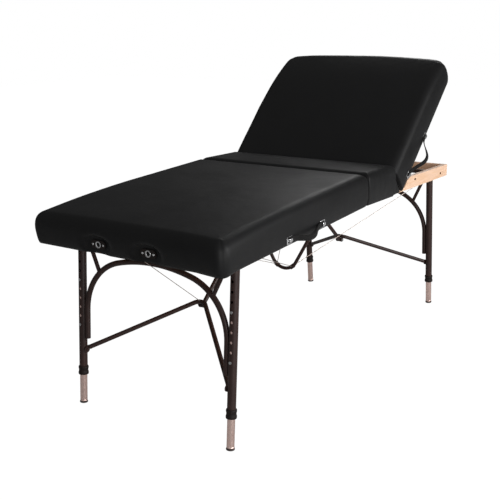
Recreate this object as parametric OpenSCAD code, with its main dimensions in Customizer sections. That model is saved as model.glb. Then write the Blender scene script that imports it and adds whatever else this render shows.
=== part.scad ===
// Folding massage table: two padded halves on a centre hinge, telescoping
// tube legs with arches and knee braces, a cable stirrup and a tilting backrest.
// X runs along the table with the head end at +X, Y across it, Z up.

/* [Padded top] */
// Width across the padding
top_w = 762; // [700:1:820]
// Length of each half, from the centre hinge to its padded end
half_l = 903; // [890:1:930]
// Height of the padded top above the underside of the frame
top_h = 122; // [116:1:135]
// Rise of the padding's crown
crown = 7; // [3:0.5:10]
// Radius of the padding's rolled top edges
edge_r = 26; // [18:1:32]
// Radius of the padded corners at the two ends of the table
corner_r = 46; // [34:1:60]
// Radius of the padded corners at the seams
seam_corner_r = 10; // [6:1:14]
// How far the cover is drawn in along its bottom edge
draw_in = 5; // [2:0.5:7]
// Thickness of the upholstery outside the wooden frame
cover_t = 14; // [12:0.5:18]
// Thickness of the upholstery on the faces that meet at a seam
seam_cover_t = 6; // [4:0.5:8]
// Angle by which each half slopes down from the centre hinge
camber = 1.7; // [0.5:0.1:2.5]

/* [Wooden frame] */
// Height of the maple rails
rail_h = 50; // [48:1:56]
// Thickness of the maple rails
rail_t = 19; // [16:1:22]
// Thickness of the plywood decks
deck_t = 6; // [5:0.5:8]
// Thickness of the battens that carry the strut brackets
batten_t = 10; // [8:0.5:11]
// Width of those battens
batten_w = 28; // [22:1:32]
// How far the backrest's padding reaches past the bare head frame
base_in = 65; // [58:1:78]
// Height of the low step in the head side rails
step_h = 13; // [11:0.5:16]

/* [Backrest] */
// Height of the backrest above the frame's underside when it lies flat
back_h = 130; // [126:1:134]
// Rise of the backrest's crown
back_crown = 12; // [6:0.5:14]
// Angle between the raised backrest and its half of the table
recline = 43.2; // [40:0.1:46]
// Distance from the centre hinge to the backrest's pivot
tilt_s = 273.7; // [268:0.1:280]
// Height of that pivot above the frame's underside
tilt_h = 98; // [96:0.5:100]
// Radius of the backrest's pivot pins
tilt_pin_r = 5; // [4:0.25:6]
// Thickness of the steel ears and arms of the backrest hinge
ear_t = 5; // [4:0.25:5.5]

/* [Legs] */
// Distance of the leg pivots inside the padded ends
leg_in = 146; // [138:1:153]
// Height of the leg pivots above the frame's underside
leg_h = 20; // [19:0.5:21]
// Distance of each leg inside the long edges of the padding
leg_inset = 63; // [59:1:71]
// How far the inner leg and its foot stand out of the outer leg
leg_out = 106; // [90:1:116]
// Outward splay of the legs against their half of the table
splay = 6.6; // [4:0.1:8]
// Outer radius of the black outer legs
leg_r = 14.3; // [13.9:0.1:14.8]
// Radius of the aluminium inner legs
inner_r = 12.7; // [12:0.1:12.9]
// Length of an outer leg, from the pivot to its open end
outer_l = 524; // [505:1:530]
// Length of the inner leg
inner_l = 460; // [430:1:470]
// Radius of the collar at the end of each outer leg
collar_r = 17; // [16.2:0.1:17.5]
// Length of that collar
collar_l = 30; // [22:1:36]
// Radius of the rubber foot
foot_r = 14.4; // [13.8:0.1:15.5]
// Height of the rubber foot
foot_h = 20; // [14:1:26]
// Spacing of the height holes
hole_pitch = 32; // [28:0.5:32]
// Number of height holes in each outer leg
holes = 10; // [8:1:10]
// Radius of the height holes
hole_r = 4.8; // [4:0.1:5.2]
// Distance of the lowest height hole above the outer leg's open end
hole_up = 184; // [179:1:190]

/* [Arch and braces] */
// Radius of the arch's tube
arch_r = 9.5; // [8:0.1:10.5]
// Radius of the arch's shoulders
shoulder_r = 190; // [175:1:195]
// Slope at which the shoulders meet the flat crown of the arch
shoulder_slope = 15; // [12:0.5:18]
// Distance from the pivot to the start of the shoulders
spring_q = 283; // [275:1:290]
// Distance of the arch's ends above the outer legs' open ends
arch_up = 136; // [134:1:150]
// Radius of the short struts above the arch
short_r = 7; // [6:0.1:8]
// Distance of the wishbone's rivets above the outer legs' open ends
seat_up = 94; // [90:1:97]
// Radius of the wishbone's tube
wish_r = 8; // [7:0.1:8.2]
// Distance of the wishbone's apex inwards from the leg pivots
apex_in = 227; // [224:1:230]
// Distance from the centre hinge to the strut's bracket
strut_s = 130.226; // [128:0.001:134]
// Bend radius of the wishbone's apex
apex_bend_r = 34; // [28:1:44]
// Distance of the knee pin below the wishbone's tube
knee_offset = 17; // [16.8:0.1:18]
// Radius of the knee strut's tube
strut_r = 8; // [7:0.1:8]
// Radius of the knee and strut pins
knee_pin_r = 4; // [3:0.1:4.5]

/* [Stirrup and cables] */
// Distance from the centre hinge to the stirrup's pivots
stirrup_s = 38; // [37:0.5:42]
// Height of those pivots above the frame's underside
stirrup_h = 12; // [11:0.5:13]
// Distance of the stirrup's pivots inside the long edges of the padding
stirrup_inset = 166; // [156:1:176]
// Drop from the pivots to the lowest tube centre
stirrup_drop = 318; // [290:1:324]
// Radius of the stirrup's tube
stirrup_r = 7; // [6:0.1:7.2]
// Bend radius at the bottom of the stirrup
stirrup_bend_r = 60; // [50:1:70]
// Distance of the cable clamps from the middle of the stirrup
clamp_y = 36; // [30:1:42]
// Radius of the steel cables
cable_r = 1.2; // [1:0.1:1.6]
// Distance of the cable studs inwards from the leg pivots
stud_in = 25; // [22:1:36]

/* [Hinges and fittings] */
// Radius of the centre hinge pins
pin_r = 2; // [1.8:0.1:2.2]
// Outer radius of the hinge knuckles
knuckle_r = 4.2; // [4:0.1:4.4]
// Length of each centre hinge
hinge_l = 76; // [60:1:90]
// Number of knuckles in each hinge
knuckles = 5; // [3:2:7]
// Distance of the hinges inside the long edges of the padding
hinge_inset = 96; // [82:1:116]
// Thickness of the hinge leaves
leaf_t = 2; // [1.6:0.1:2.2]
// Width of each hinge leaf
leaf_w = 24; // [20:1:25]
// Distance between the two face cradle sockets
socket_gap = 203; // [190:1:215]
// Height of the sockets above the frame's underside
socket_h = 29; // [27:0.5:31]
// Radius of the sockets' bores
socket_r = 6.4; // [6:0.1:6.6]
// Distance between the two brackets of a carry handle
handle_span = 214; // [190:1:230]
// Distance from the centre hinge to the middle of the foot half's handle
foot_handle_s = 448; // [440:1:500]
// Distance from the centre hinge to the middle of the backrest's handle
back_handle_s = 420; // [415:1:500]
// Height of the handles' brackets above the underside of the padding
handle_h = 20; // [18:0.5:22]
// How far a carry handle stands out from the padding
handle_reach = 18; // [15:0.5:20]
// How far the middle of a handle hangs below its brackets
handle_sag = 14; // [4:1:20]
// Width of the handle's strap
strap_w = 20; // [16:1:22]
// Thickness of the handle's strap
strap_t = 4; // [3:0.5:5]

/* [Hidden] */

$fn = 48;
vinyl = "#2b2b2b";
maple = "#ecd2bc";
plywood = "#d9bd99";
black_paint = "#1c1816";
black_plastic = "#0d0c0c";
aluminium = "#c9b5b3";
steel = "#b9bbbd";
rubber = "#4a4644";
webbing = "#171514";

// Clearances and the one overrun for every cut
run_gap = 0.05;
seat_gap = 0.3;
part_gap = 0.5;
weld = 0.8;
bend_lap = 1;
bend_grow = 0.05;
joint_grow = 0.3;
cut = 1;

// The frame inside the padding, and where the fittings stand on it
half_w = top_w / 2;
base_l = half_l - base_in;
leg_s = half_l - leg_in;
leg_y = half_w - leg_inset;
leg_l = outer_l + leg_out;
lowest_hole = outer_l - hole_up;
arch_end_q = outer_l - arch_up;
seat_q = outer_l - seat_up;
apex_s = leg_s - apex_in;
stud_s = leg_s - stud_in;
stirrup_y = half_w - stirrup_inset;
hinge_y = half_w - hinge_inset;
frame_y = half_w - cover_t;
rail_y = frame_y - rail_t;
deck_h = rail_h + deck_t;
foot_end_s = half_l - cover_t;
batten_h = rail_h - batten_t;

// The tilting backrest, in the same flat coordinates as its half
back_roll_r = back_h - tilt_h;
back_s = tilt_s - back_roll_r;
mid_l = back_s - seat_gap;
mid_end_s = mid_l - seam_cover_t;
board_s = tilt_s + back_roll_r;
board_h = deck_h + deck_t;
pocket_gap = 7;
pocket_s = base_l + pocket_gap;
ear_y = rail_y - ear_t;
arm_y = ear_y - part_gap - ear_t;
ear_wall = 8;
ear_r = tilt_pin_r + ear_wall;
arm_reach = 52;
ear_foot = 46;
step_in = 44;
step_run = 54;
step_s = tilt_s + step_in;

// The legs and their braces, a closed four-bar linkage
shaft_r = arch_r;
shaft_seat = 11;
shaft_y = rail_y + shaft_seat;
leg_top = 12;
tube_t = 1.6;
tube_bore_r = inner_r + run_gap;
sole_t = 12;
tip_edge = 1.2;
inner_q = leg_l - sole_t - inner_l;
snap_steps = 5;
snap_blade = 0.8;
snap_w = 6;
snap_out = 1.2;
snap_l = 36;
snap_bend_h = 27;
snap_back_l = 24;
snap_bend = 202;
seat_s = leg_s + seat_q * sin(splay);
seat_h = leg_h - seat_q * cos(splay);
strut_h = leg_h + knee_offset;

// The apex hangs where wishbone and strut meet at the knee both open and folded flat
function wish_at(h) = norm([seat_s - apex_s, seat_h - h]);

function knee_at(h) = [apex_s - knee_offset * (h - seat_h) / wish_at(h),
                       h + knee_offset * (apex_s - seat_s) / wish_at(h)];

function too_deep(h) = norm(knee_at(h) - [strut_s, strut_h])
    > leg_s - seat_q + wish_at(h) - strut_s;

function apex_search(low, high, halvings) = let (mid = (low + high) / 2)
    halvings == 0 ? mid
    : too_deep(mid) ? apex_search(mid, high, halvings - 1)
    : apex_search(low, mid, halvings - 1);

apex_h = apex_search(2 * seat_h, leg_h, 40);
wish_l = wish_at(apex_h);
wish_dir = [(apex_s - seat_s) / wish_l, (apex_h - seat_h) / wish_l];
wish_angle = atan2(wish_dir[1], wish_dir[0]);
knee = knee_at(apex_h);
strut_l = leg_s - seat_q + wish_l - strut_s;
strut_angle = atan2(strut_h - knee[1], knee[0] - strut_s);
arch_y = leg_y - leg_r - arch_r + weld;
eye_t = 6;
eye_y = leg_y - leg_r - part_gap - eye_t / 2;
eye_r = 11;
eye_neck = 14;
arm_start_y = eye_y + eye_t / 2 - wish_r - joint_grow;
rivet_r = 4;
rivet_head_r = 5.5;
rivet_head_t = 2.5;
lug_t = 4;
lug_r = 9;
lug_y = strut_r + part_gap;
strut_eye_y = lug_y - seat_gap;
knee_head_r = 6.5;
knee_head_t = 4;
bracket_s = 14;
bracket_y = 24;
plate_t = 3;
batten_end_s = strut_s - bracket_s;
notch_y = strut_r + joint_grow + part_gap;
notch_h = strut_h + strut_r + part_gap;

// The stirrup and the cables
stirrup_eye_r = 9;
stirrup_eye_w = 14;
clamp_wall = 2;
clamp_r = stirrup_r + clamp_wall;
clamp_reach_share = 1.28;
cable_trim = clamp_reach_share * clamp_r + seat_gap;
clamp_drop = stirrup_drop - stirrup_bend_r
    + sqrt(pow(stirrup_bend_r, 2) - pow(clamp_y, 2));
stud_r = 4;
stud_l = 10;
stud_h = 14;
knee_stud_h = 7;

// The carry handles and the sockets
clip_wall = 1.5;
clip_l = 16;
clip_edge = 2;
clip_y = half_w - seat_gap;
strap_y = clip_y + clip_wall + seat_gap;
strap_steps = 24;
strap_edge = 1.2;
socket_wall = 1.6;
socket_sunk = 3;
socket_plate_t = 4.5;
socket_plate_r = 14;
socket_plate_half = 17;
socket_screw_y = 21.5;
socket_screw_r = 3.4;
socket_screw_t = 1.2;

// The table on the floor: the height of the hinge pins follows from the legs
leaf_gap = 0.2;
pin_drop = knuckle_r + leaf_gap;
lean = splay - camber;
sole_s = leg_s + leg_l * sin(splay);
sole_h = leg_h - leg_l * cos(splay);
hinge_z = sole_s * sin(camber) - (sole_h + pin_drop) * cos(camber) + foot_r * sin(lean);
hinge_x = (half_l - base_l) / 2 * cos(camber);

// Rings of points for a padded block, from its bottom edge to the middle of its top
edge_steps = 4;
arc_steps = 6;
long_steps = 8;
short_steps = 6;
low_share = 0.12;
full_share = 0.45;
top_rings_shares = [0.8, 0.55, 0.28];
least_r = 1;

function arc_points(c, r, from) = [for (i = [0:arc_steps])
    c + r * [cos(from + 90 * i / arc_steps), sin(from + 90 * i / arc_steps)]];

function side_points(p, q, n) = [for (i = [1:n - 1]) p + (q - p) * i / n];

function plan(s0, s1, w, r0, r1, inset) =
    let (a = s0 + inset, b = s1 - inset, y = w - inset,
         ra = max(r0 - inset, least_r), rb = max(r1 - inset, least_r),
         c0 = arc_points([b - rb, y - rb], rb, 0),
         c1 = arc_points([a + ra, y - ra], ra, 90),
         c2 = arc_points([a + ra, ra - y], ra, 180),
         c3 = arc_points([b - rb, rb - y], rb, 270))
    concat(c0, side_points(c0[arc_steps], c1[0], long_steps), c1,
           side_points(c1[arc_steps], c2[0], short_steps), c2,
           side_points(c2[arc_steps], c3[0], long_steps), c3,
           side_points(c3[arc_steps], c0[0], short_steps));

function lift(ring, z) = [for (p = ring) [p[0], p[1], z]];

function crown_ring(ring, mid, half, share, h, rise) = [for (p = ring)
    let (u = (p[0] - mid) / half[0] * share, v = p[1] / half[1] * share)
    [mid + (p[0] - mid) * share, p[1] * share, h + rise * (1 - u * u) * (1 - v * v)]];

function loft_faces(rows, n) = [for (k = [0:rows - 2]) for (i = [0:n - 1]) for (t = [0, 1])
    let (a = k * n + i, b = k * n + (i + 1) % n)
    t == 0 ? [a, a + n, b] : [b, a + n, b + n]];

module padded_block(s0, s1, w, h, rise, roll, r0, r1) {
    flat = h - roll;
    mid = (s0 + s1) / 2;
    half = [(s1 - s0) / 2 - roll, w - roll];
    base = plan(s0, s1, w, r0, r1, roll);
    sides = [[0, draw_in], [low_share * flat, draw_in / 2], [full_share * flat, 0], [flat, 0]];
    rings = concat(
        [for (row = sides) lift(plan(s0, s1, w, r0, r1, row[1]), row[0])],
        [for (i = [1:edge_steps]) let (a = 90 * i / edge_steps)
            lift(plan(s0, s1, w, r0, r1, roll * (1 - cos(a))), flat + roll * sin(a))],
        [for (share = top_rings_shares) crown_ring(base, mid, half, share, h, rise)]);
    n = len(base);
    rows = len(rings);
    points = concat([for (ring = rings) for (p = ring) p], [[mid, 0, 0], [mid, 0, h + rise]]);
    bottom = [for (i = [0:n - 1]) [rows * n, i, (i + 1) % n]];
    top = [for (i = [0:n - 1]) [rows * n + 1, (rows - 1) * n + (i + 1) % n, (rows - 1) * n + i]];
    polyhedron(points, concat(bottom, loft_faces(rows, n), top));
}

// Places for the pieces of each half, each drawn as s outwards, y across, h up
module head_half() {
    translate([hinge_x, 0, hinge_z]) rotate([0, camber, 0]) translate([0, 0, pin_drop])
        children();
}

module foot_half() {
    translate([hinge_x, 0, hinge_z]) rotate([0, -camber, 0]) mirror([1, 0, 0])
        translate([0, 0, pin_drop]) children();
}

// The same places as points of the whole table
function head_at(s, y, h) = [
    hinge_x + s * cos(camber) + (h + pin_drop) * sin(camber), y,
    hinge_z - s * sin(camber) + (h + pin_drop) * cos(camber)];

function foot_at(s, y, h) = [
    hinge_x - s * cos(camber) - (h + pin_drop) * sin(camber), y,
    hinge_z - s * sin(camber) + (h + pin_drop) * cos(camber)];

module raised() {
    translate([tilt_s, 0, tilt_h]) rotate([0, -recline, 0]) translate([-tilt_s, 0, -tilt_h])
        children();
}

// A leg's own place: the pivot at the origin, the leg running down
module on_leg_pivot() {
    translate([leg_s, 0, leg_h]) rotate([0, -splay, 0]) children();
}

module box(a, b) {
    translate(a) cube(b - a);
}

module rod(p, q, r) {
    d = q - p;
    translate(p) rotate([0, acos(d[2] / norm(d)), atan2(d[1], d[0])]) cylinder(r = r, h = norm(d));
}

module along_y(y0, y1, r) {
    translate([0, y0, 0]) rotate([-90, 0, 0]) cylinder(r = r, h = y1 - y0);
}

module both_sides() {
    children();
    mirror([0, 1, 0]) children();
}

// A flat plate standing in the plane of s and h, from y - t to y
module upright(y, t) {
    translate([0, y, 0]) rotate([90, 0, 0]) linear_extrude(t) children();
}

// A tube bent into a V: its arms start at x, y and meet in a bend whose middle is at tip
module bent_v(x, y, tip, bend_r, r) {
    c = tip - bend_r;
    slope = atan2(y, c - x) - asin(bend_r / norm([c - x, y]));
    along = [cos(slope), -sin(slope), 0];
    touch = [c + bend_r * sin(slope), bend_r * cos(slope), 0];
    both_sides() rod([x, y, 0], touch + bend_lap * along, r);
    translate([c, 0, 0]) rotate([0, 0, slope - 90]) rotate_extrude(angle = 180 - 2 * slope)
        translate([bend_r, 0]) circle(r = r + bend_grow);
}

// Wooden frames
module side_rail(length) {
    difference() {
        box([seam_cover_t, rail_y, 0], [length, frame_y, rail_h]);
        translate([leg_s, 0, leg_h]) along_y(rail_y - cut, shaft_y + part_gap, shaft_r + run_gap);
    }
}

// Plan of the foot half's frame, with its outer corners rounded under the padding
module foot_plan() {
    round_s = foot_end_s - rail_t;
    translate([seam_cover_t, -frame_y]) square([round_s - seam_cover_t, 2 * frame_y]);
    translate([seam_cover_t, -rail_y]) square([foot_end_s - seam_cover_t, 2 * rail_y]);
    for (y = [-rail_y, rail_y]) translate([round_s, y]) circle(r = rail_t);
}

module foot_side_rail() {
    difference() {
        side_rail(foot_end_s);
        translate([foot_end_s - rail_t, rail_y, -cut]) linear_extrude(rail_h + 2 * cut)
            difference() {
                square(rail_t + cut);
                circle(r = rail_t);
            }
    }
}

module head_side_rail() {
    end = step_s + step_run;
    rise = rail_h - step_h;
    difference() {
        side_rail(base_l);
        upright(frame_y + cut, rail_t + 2 * cut)
            polygon([[step_s, rail_h + cut], [step_s, step_h], [end, step_h],
                     [end + rise, rail_h], [end + rise, rail_h + cut]]);
    }
}

module cross_rail(s0, s1) {
    box([s0, -rail_y, 0], [s1, rail_y, rail_h]);
}

module batten(end) {
    box([end - batten_w, -rail_y, batten_h], [end, rail_y, rail_h]);
}

module foot_rail_left() {
    color(maple) foot_half() foot_side_rail();
}

module foot_rail_right() {
    color(maple) foot_half() mirror([0, 1, 0]) foot_side_rail();
}

module head_rail_left() {
    color(maple) head_half() head_side_rail();
}

module head_rail_right() {
    color(maple) head_half() mirror([0, 1, 0]) head_side_rail();
}

module foot_end_rail() {
    color(maple) foot_half() difference() {
        cross_rail(foot_end_s - rail_t, foot_end_s);
        both_sides() translate([foot_end_s - rail_t - cut, socket_gap / 2, socket_h])
            rotate([0, 90, 0]) cylinder(r = socket_r + socket_wall + run_gap, h = rail_t + 2 * cut);
    }
}

module head_end_rail() {
    color(maple) head_half() cross_rail(base_l - rail_t, base_l);
}

module foot_centre_rail() {
    color(maple) foot_half() cross_rail(seam_cover_t, seam_cover_t + rail_t);
}

module head_centre_rail() {
    color(maple) head_half() cross_rail(seam_cover_t, seam_cover_t + rail_t);
}

module foot_batten() {
    color(maple) foot_half() batten(batten_end_s);
}

module head_batten() {
    color(maple) head_half() batten(batten_end_s);
}

module head_deck_batten() {
    color(maple) head_half() difference() {
        batten(mid_end_s);
        box([mid_end_s - batten_w - cut, -notch_y, batten_h - cut],
            [mid_end_s + cut, notch_y, notch_h]);
    }
}

module foot_deck() {
    color(plywood) foot_half() translate([0, 0, rail_h]) linear_extrude(deck_t) foot_plan();
}

module mid_deck() {
    color(plywood) head_half() box([seam_cover_t, -frame_y, rail_h], [mid_end_s, frame_y, deck_h]);
}

// Brackets under the decks that carry the struts
module strut_bracket() {
    box([strut_s - bracket_s, -bracket_y, rail_h - plate_t], [strut_s + bracket_s, bracket_y, rail_h]);
    both_sides() upright(lug_y + lug_t, lug_t) translate([strut_s, strut_h]) union() {
        circle(r = lug_r);
        translate([-lug_r, 0]) square([2 * lug_r, rail_h - strut_h - plate_t / 2]);
    }
    translate([strut_s, 0, strut_h])
        along_y(-lug_y - lug_t - plate_t, lug_y + lug_t + plate_t, knee_pin_r);
}

module foot_strut_bracket() {
    color(steel) foot_half() strut_bracket();
}

module head_strut_bracket() {
    color(steel) head_half() strut_bracket();
}

// Centre hinges
hinge_root = knuckle_r + part_gap;

module hinge_leaves() {
    both_sides() box([hinge_root, hinge_y - hinge_l / 2, -leaf_t],
                     [leaf_w, hinge_y + hinge_l / 2, 0]);
}

module hinge_knuckles(first) {
    pitch = hinge_l / knuckles;
    length = pitch - 2 * run_gap;
    both_sides() for (k = [first:2:knuckles - 1])
        translate([0, hinge_y - hinge_l / 2 + k * pitch + run_gap, 0]) difference() {
            union() {
                translate([0, 0, -pin_drop]) along_y(0, length, knuckle_r);
                box([0, 0, -leaf_t - knuckle_r / 2], [hinge_root, length, -run_gap]);
            }
            translate([0, 0, -pin_drop]) along_y(-cut, length + cut, pin_r + run_gap);
        }
}

module foot_hinge_leaves() {
    color(steel) foot_half() hinge_leaves();
}

module head_hinge_leaves() {
    color(steel) head_half() hinge_leaves();
}

module foot_hinge_knuckles() {
    color(steel) foot_half() hinge_knuckles(0);
}

module head_hinge_knuckles() {
    color(steel) head_half() hinge_knuckles(1);
}

module hinge_pin() {
    reach = hinge_l / 2 + seat_gap;
    translate([hinge_x, hinge_y, hinge_z]) {
        along_y(-reach - leaf_t, reach + leaf_t, pin_r);
        along_y(-reach - leaf_t, -reach, knuckle_r - part_gap);
        along_y(reach, reach + leaf_t, knuckle_r - part_gap);
    }
}

module hinge_pins() {
    color(steel) both_sides() hinge_pin();
}

// Padding
module socket_outline(grow) {
    rotate([0, 90, 0]) rotate([0, 0, 90]) linear_extrude(socket_plate_t) union() {
        translate([socket_plate_half, 0]) circle(r = socket_plate_r + grow);
        translate([-socket_plate_half, 0]) circle(r = socket_plate_r + grow);
        translate([-socket_plate_half, -socket_plate_r - grow])
            square([2 * socket_plate_half, 2 * (socket_plate_r + grow)]);
    }
}

module foot_pad() {
    color(vinyl) foot_half() difference() {
        padded_block(seat_gap, half_l, half_w, top_h, crown, edge_r, seam_corner_r, corner_r);
        translate([0, 0, -cut]) linear_extrude(deck_h + cut) foot_plan();
        both_sides() translate([0, socket_gap / 2, socket_h]) {
            translate([foot_end_s - cut, 0, 0]) rotate([0, 90, 0])
                cylinder(r = socket_r + socket_wall + seat_gap, h = cover_t);
            translate([half_l - socket_sunk, 0, 0]) socket_outline(seat_gap);
        }
    }
}

module mid_pad() {
    color(vinyl) head_half() difference() {
        padded_block(seat_gap, mid_l, half_w, top_h, crown, edge_r, seam_corner_r, seam_corner_r);
        box([seam_cover_t, -frame_y, -cut], [mid_l + cut, frame_y, rail_h]);
        box([seam_cover_t, -frame_y, rail_h - cut], [mid_end_s, frame_y, deck_h]);
    }
}

// Soft cheeks that fill the notch under the raised backrest's pivot
module seam_gussets() {
    c = cos(recline);
    s = sin(recline);
    top = [tilt_s - back_roll_r * c - part_gap, tilt_h - back_roll_r * s - part_gap];
    low = [tilt_s - back_roll_r * c + tilt_h * s - part_gap,
           tilt_h - back_roll_r * s - tilt_h * c - part_gap];
    color(vinyl) head_half() both_sides() upright(half_w - part_gap, cover_t - 2 * part_gap)
        polygon([[mid_l, 0], [mid_l, tilt_h - edge_r], top, low, [low[0] + draw_in, 0]]);
}

module backrest_pad() {
    color(vinyl) head_half() raised() difference() {
        padded_block(back_s, half_l, half_w, back_h, back_crown, back_roll_r,
                     seam_corner_r, corner_r);
        box([back_s - cut, -frame_y - part_gap, -cut], [pocket_s, frame_y + part_gap, board_h]);
        box([back_s - cut, -frame_y - part_gap, 0],
            [board_s, frame_y + part_gap, board_h + plate_t]);
        both_sides() box([back_s - cut, arm_y - part_gap, -cut],
            [board_s + arm_reach + part_gap, rail_y + part_gap, tilt_h + ear_r + part_gap]);
    }
}

module backrest_board() {
    color(plywood) head_half() raised()
        box([board_s, -frame_y, rail_h + seat_gap], [pocket_s - seat_gap, frame_y, board_h]);
}

// Hinge of the backrest: ears on the side rails, arms on the backrest's board
module backrest_ears() {
    root = mid_l + part_gap;
    color(black_paint) head_half() both_sides() difference() {
        upright(rail_y, ear_t) union() {
            polygon([[root, step_h], [root + ear_foot, step_h], [root + ear_foot, rail_h - part_gap],
                     [tilt_s + ear_r, tilt_h], [tilt_s - ear_r, tilt_h],
                     [root, rail_h + ear_r]]);
            translate([tilt_s, tilt_h]) circle(r = ear_r);
        }
        translate([tilt_s, 0, tilt_h]) along_y(ear_y - cut, rail_y + cut, tilt_pin_r + run_gap);
    }
}

module backrest_arms() {
    color(steel) head_half() raised() both_sides() {
        upright(arm_y + ear_t, ear_t) union() {
            polygon([[tilt_s, tilt_h + ear_r], [tilt_s, tilt_h - ear_r], [board_s, board_h],
                     [board_s + arm_reach, board_h], [board_s + arm_reach, board_h + ear_r]]);
            translate([tilt_s, tilt_h]) circle(r = ear_r);
        }
        translate([tilt_s, 0, tilt_h]) along_y(arm_y + ear_t - cut, rail_y, tilt_pin_r);
    }
}

// Face cradle sockets in the foot end
module socket() {
    translate([0, socket_gap / 2, socket_h]) difference() {
        union() {
            translate([half_l - socket_sunk + seat_gap, 0, 0]) socket_outline(0);
            translate([foot_end_s - rail_t, 0, 0]) rotate([0, 90, 0])
                cylinder(r = socket_r + socket_wall, h = cover_t + rail_t);
            for (y = [-socket_screw_y, socket_screw_y])
                translate([half_l - socket_sunk + seat_gap, y, 0]) rotate([0, 90, 0])
                    cylinder(r = socket_screw_r, h = socket_plate_t + socket_screw_t);
        }
        translate([foot_end_s - rail_t - cut, 0, 0]) rotate([0, 90, 0])
            cylinder(r = socket_r, h = cover_t + rail_t + 2 * socket_plate_t);
    }
}

module socket_left() {
    color(black_plastic) foot_half() socket();
}

module socket_right() {
    color(black_plastic) foot_half() mirror([0, 1, 0]) socket();
}

// Carry handles: a strap that bows outwards and down between two clips
function bow(u) = (1 - cos(360 * min(max(u, 0), 1))) / 2;

function strap_ring(s, y, h) =
    let (lo = h - strap_w / 2, hi = h + strap_w / 2, a = -y - strap_t, b = -y, e = strap_edge)
    [[s, a + e, lo], [s, b - e, lo], [s, b, lo + e], [s, b, hi - e],
     [s, b - e, hi], [s, a + e, hi], [s, a, hi - e], [s, a, lo + e]];

module strap(mid) {
    s0 = mid - handle_span / 2;
    free = handle_span - 2 * clip_l;
    out = handle_reach - strap_t - (strap_y - half_w);
    rings = [for (i = [0:strap_steps])
        let (s = handle_span * i / strap_steps, u = bow((s - clip_l) / free))
        strap_ring(s0 + s, strap_y + out * u, handle_h - handle_sag * u)];
    n = len(rings[0]);
    last = strap_steps * n;
    polyhedron([for (ring = rings) for (p = ring) p],
        concat([[for (i = [0:n - 1]) i]], loft_faces(strap_steps + 1, n),
               [[for (i = [n - 1:-1:0]) last + i]]));
}

module strap_clips(mid) {
    for (end = [0, 1]) translate([mid, 0, handle_h]) mirror([end, 0, 0]) difference() {
        box([-handle_span / 2 - clip_edge, -strap_y - strap_t - seat_gap - clip_wall,
             -strap_w / 2 - clip_edge],
            [clip_l - handle_span / 2, -clip_y, strap_w / 2 + clip_edge]);
        box([-handle_span / 2 - seat_gap, -strap_y - strap_t - seat_gap,
             -strap_w / 2 - seat_gap],
            [clip_l + cut - handle_span / 2, seat_gap - strap_y, strap_w / 2 + seat_gap]);
    }
}

module foot_handle() {
    color(webbing) foot_half() strap(foot_handle_s);
}

module foot_handle_clips() {
    color(steel) foot_half() strap_clips(foot_handle_s);
}

module head_handle() {
    color(webbing) head_half() raised() strap(back_handle_s);
}

module head_handle_clips() {
    color(steel) head_half() raised() strap_clips(back_handle_s);
}

// Leg frame: hinge shaft, two outer legs, the arch and its short struts
module arch() {
    side_y = arch_y - shoulder_r;
    join_y = side_y + shoulder_r * sin(shoulder_slope);
    join_z = shoulder_r * cos(shoulder_slope) - spring_q;
    crown_r = join_y / sin(shoulder_slope);
    crown_angle = shoulder_slope + atan(bend_lap / crown_r);
    both_sides() {
        translate([0, arch_y, -arch_end_q])
            cylinder(r = arch_r, h = arch_end_q - spring_q + bend_lap);
        translate([0, side_y, -spring_q]) rotate([90, 0, 90])
            rotate_extrude(angle = 90 - shoulder_slope, $fn = 96)
                translate([shoulder_r, 0]) circle(r = arch_r + bend_grow, $fn = 48);
    }
    translate([0, 0, join_z - crown_r * cos(shoulder_slope)]) rotate([90, 0, 90])
        rotate([0, 0, 90 - crown_angle]) rotate_extrude(angle = 2 * crown_angle, $fn = 144)
            translate([crown_r, 0]) circle(r = arch_r, $fn = 48);
}

module leg_frame() {
    short_angle = 46;
    short_y = arch_y - shoulder_r + shoulder_r * cos(short_angle);
    short_z = shoulder_r * sin(short_angle) - spring_q;
    on_leg_pivot() difference() {
        union() {
            along_y(-shaft_y, shaft_y, shaft_r);
            arch();
            both_sides() {
                translate([0, leg_y, -outer_l]) cylinder(r = leg_r, h = outer_l + leg_top);
                rod([0, leg_y - leg_r, -shaft_r / 2], [0, short_y, short_z], short_r);
                translate([0, 0, -seat_q]) {
                    along_y(eye_y - eye_t / 2 - part_gap, leg_y - leg_r + weld, rivet_r);
                    along_y(eye_y - eye_t / 2 - part_gap - rivet_head_t,
                            eye_y - eye_t / 2 - part_gap, rivet_head_r);
                }
            }
        }
        both_sides() {
            translate([0, leg_y, -outer_l - cut])
                cylinder(r = tube_bore_r, h = outer_l - 2 * shaft_r + cut);
            for (i = [0:holes - 1]) translate([0, leg_y, i * hole_pitch - lowest_hole])
                rotate([0, 90, 0]) cylinder(r = hole_r, h = leg_r + cut, $fn = 24);
        }
    }
}

module foot_leg_frame() {
    color(black_paint) foot_half() leg_frame();
}

module head_leg_frame() {
    color(black_paint) head_half() leg_frame();
}

module collars() {
    on_leg_pivot() both_sides() translate([0, leg_y, -outer_l]) difference() {
        cylinder(r = collar_r, h = collar_l);
        translate([0, 0, -cut]) cylinder(r = leg_r, h = collar_l + 2 * cut);
    }
}

module foot_collars() {
    color(black_plastic) foot_half() collars();
}

module head_collars() {
    color(black_plastic) head_half() collars();
}

// Telescoping inner legs with their spring buttons and rubber tips
module inner_leg(side) {
    on_leg_pivot() translate([0, side * leg_y, -inner_q - inner_l]) difference() {
        cylinder(r = inner_r, h = inner_l);
        translate([0, 0, -cut]) cylinder(r = inner_r - tube_t, h = inner_l + 2 * cut);
        for (i = [0, snap_steps]) translate([0, 0, inner_q + inner_l - lowest_hole + i * hole_pitch])
            rotate([0, 90, 0]) cylinder(r = hole_r, h = inner_r + cut, $fn = 24);
    }
}

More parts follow.
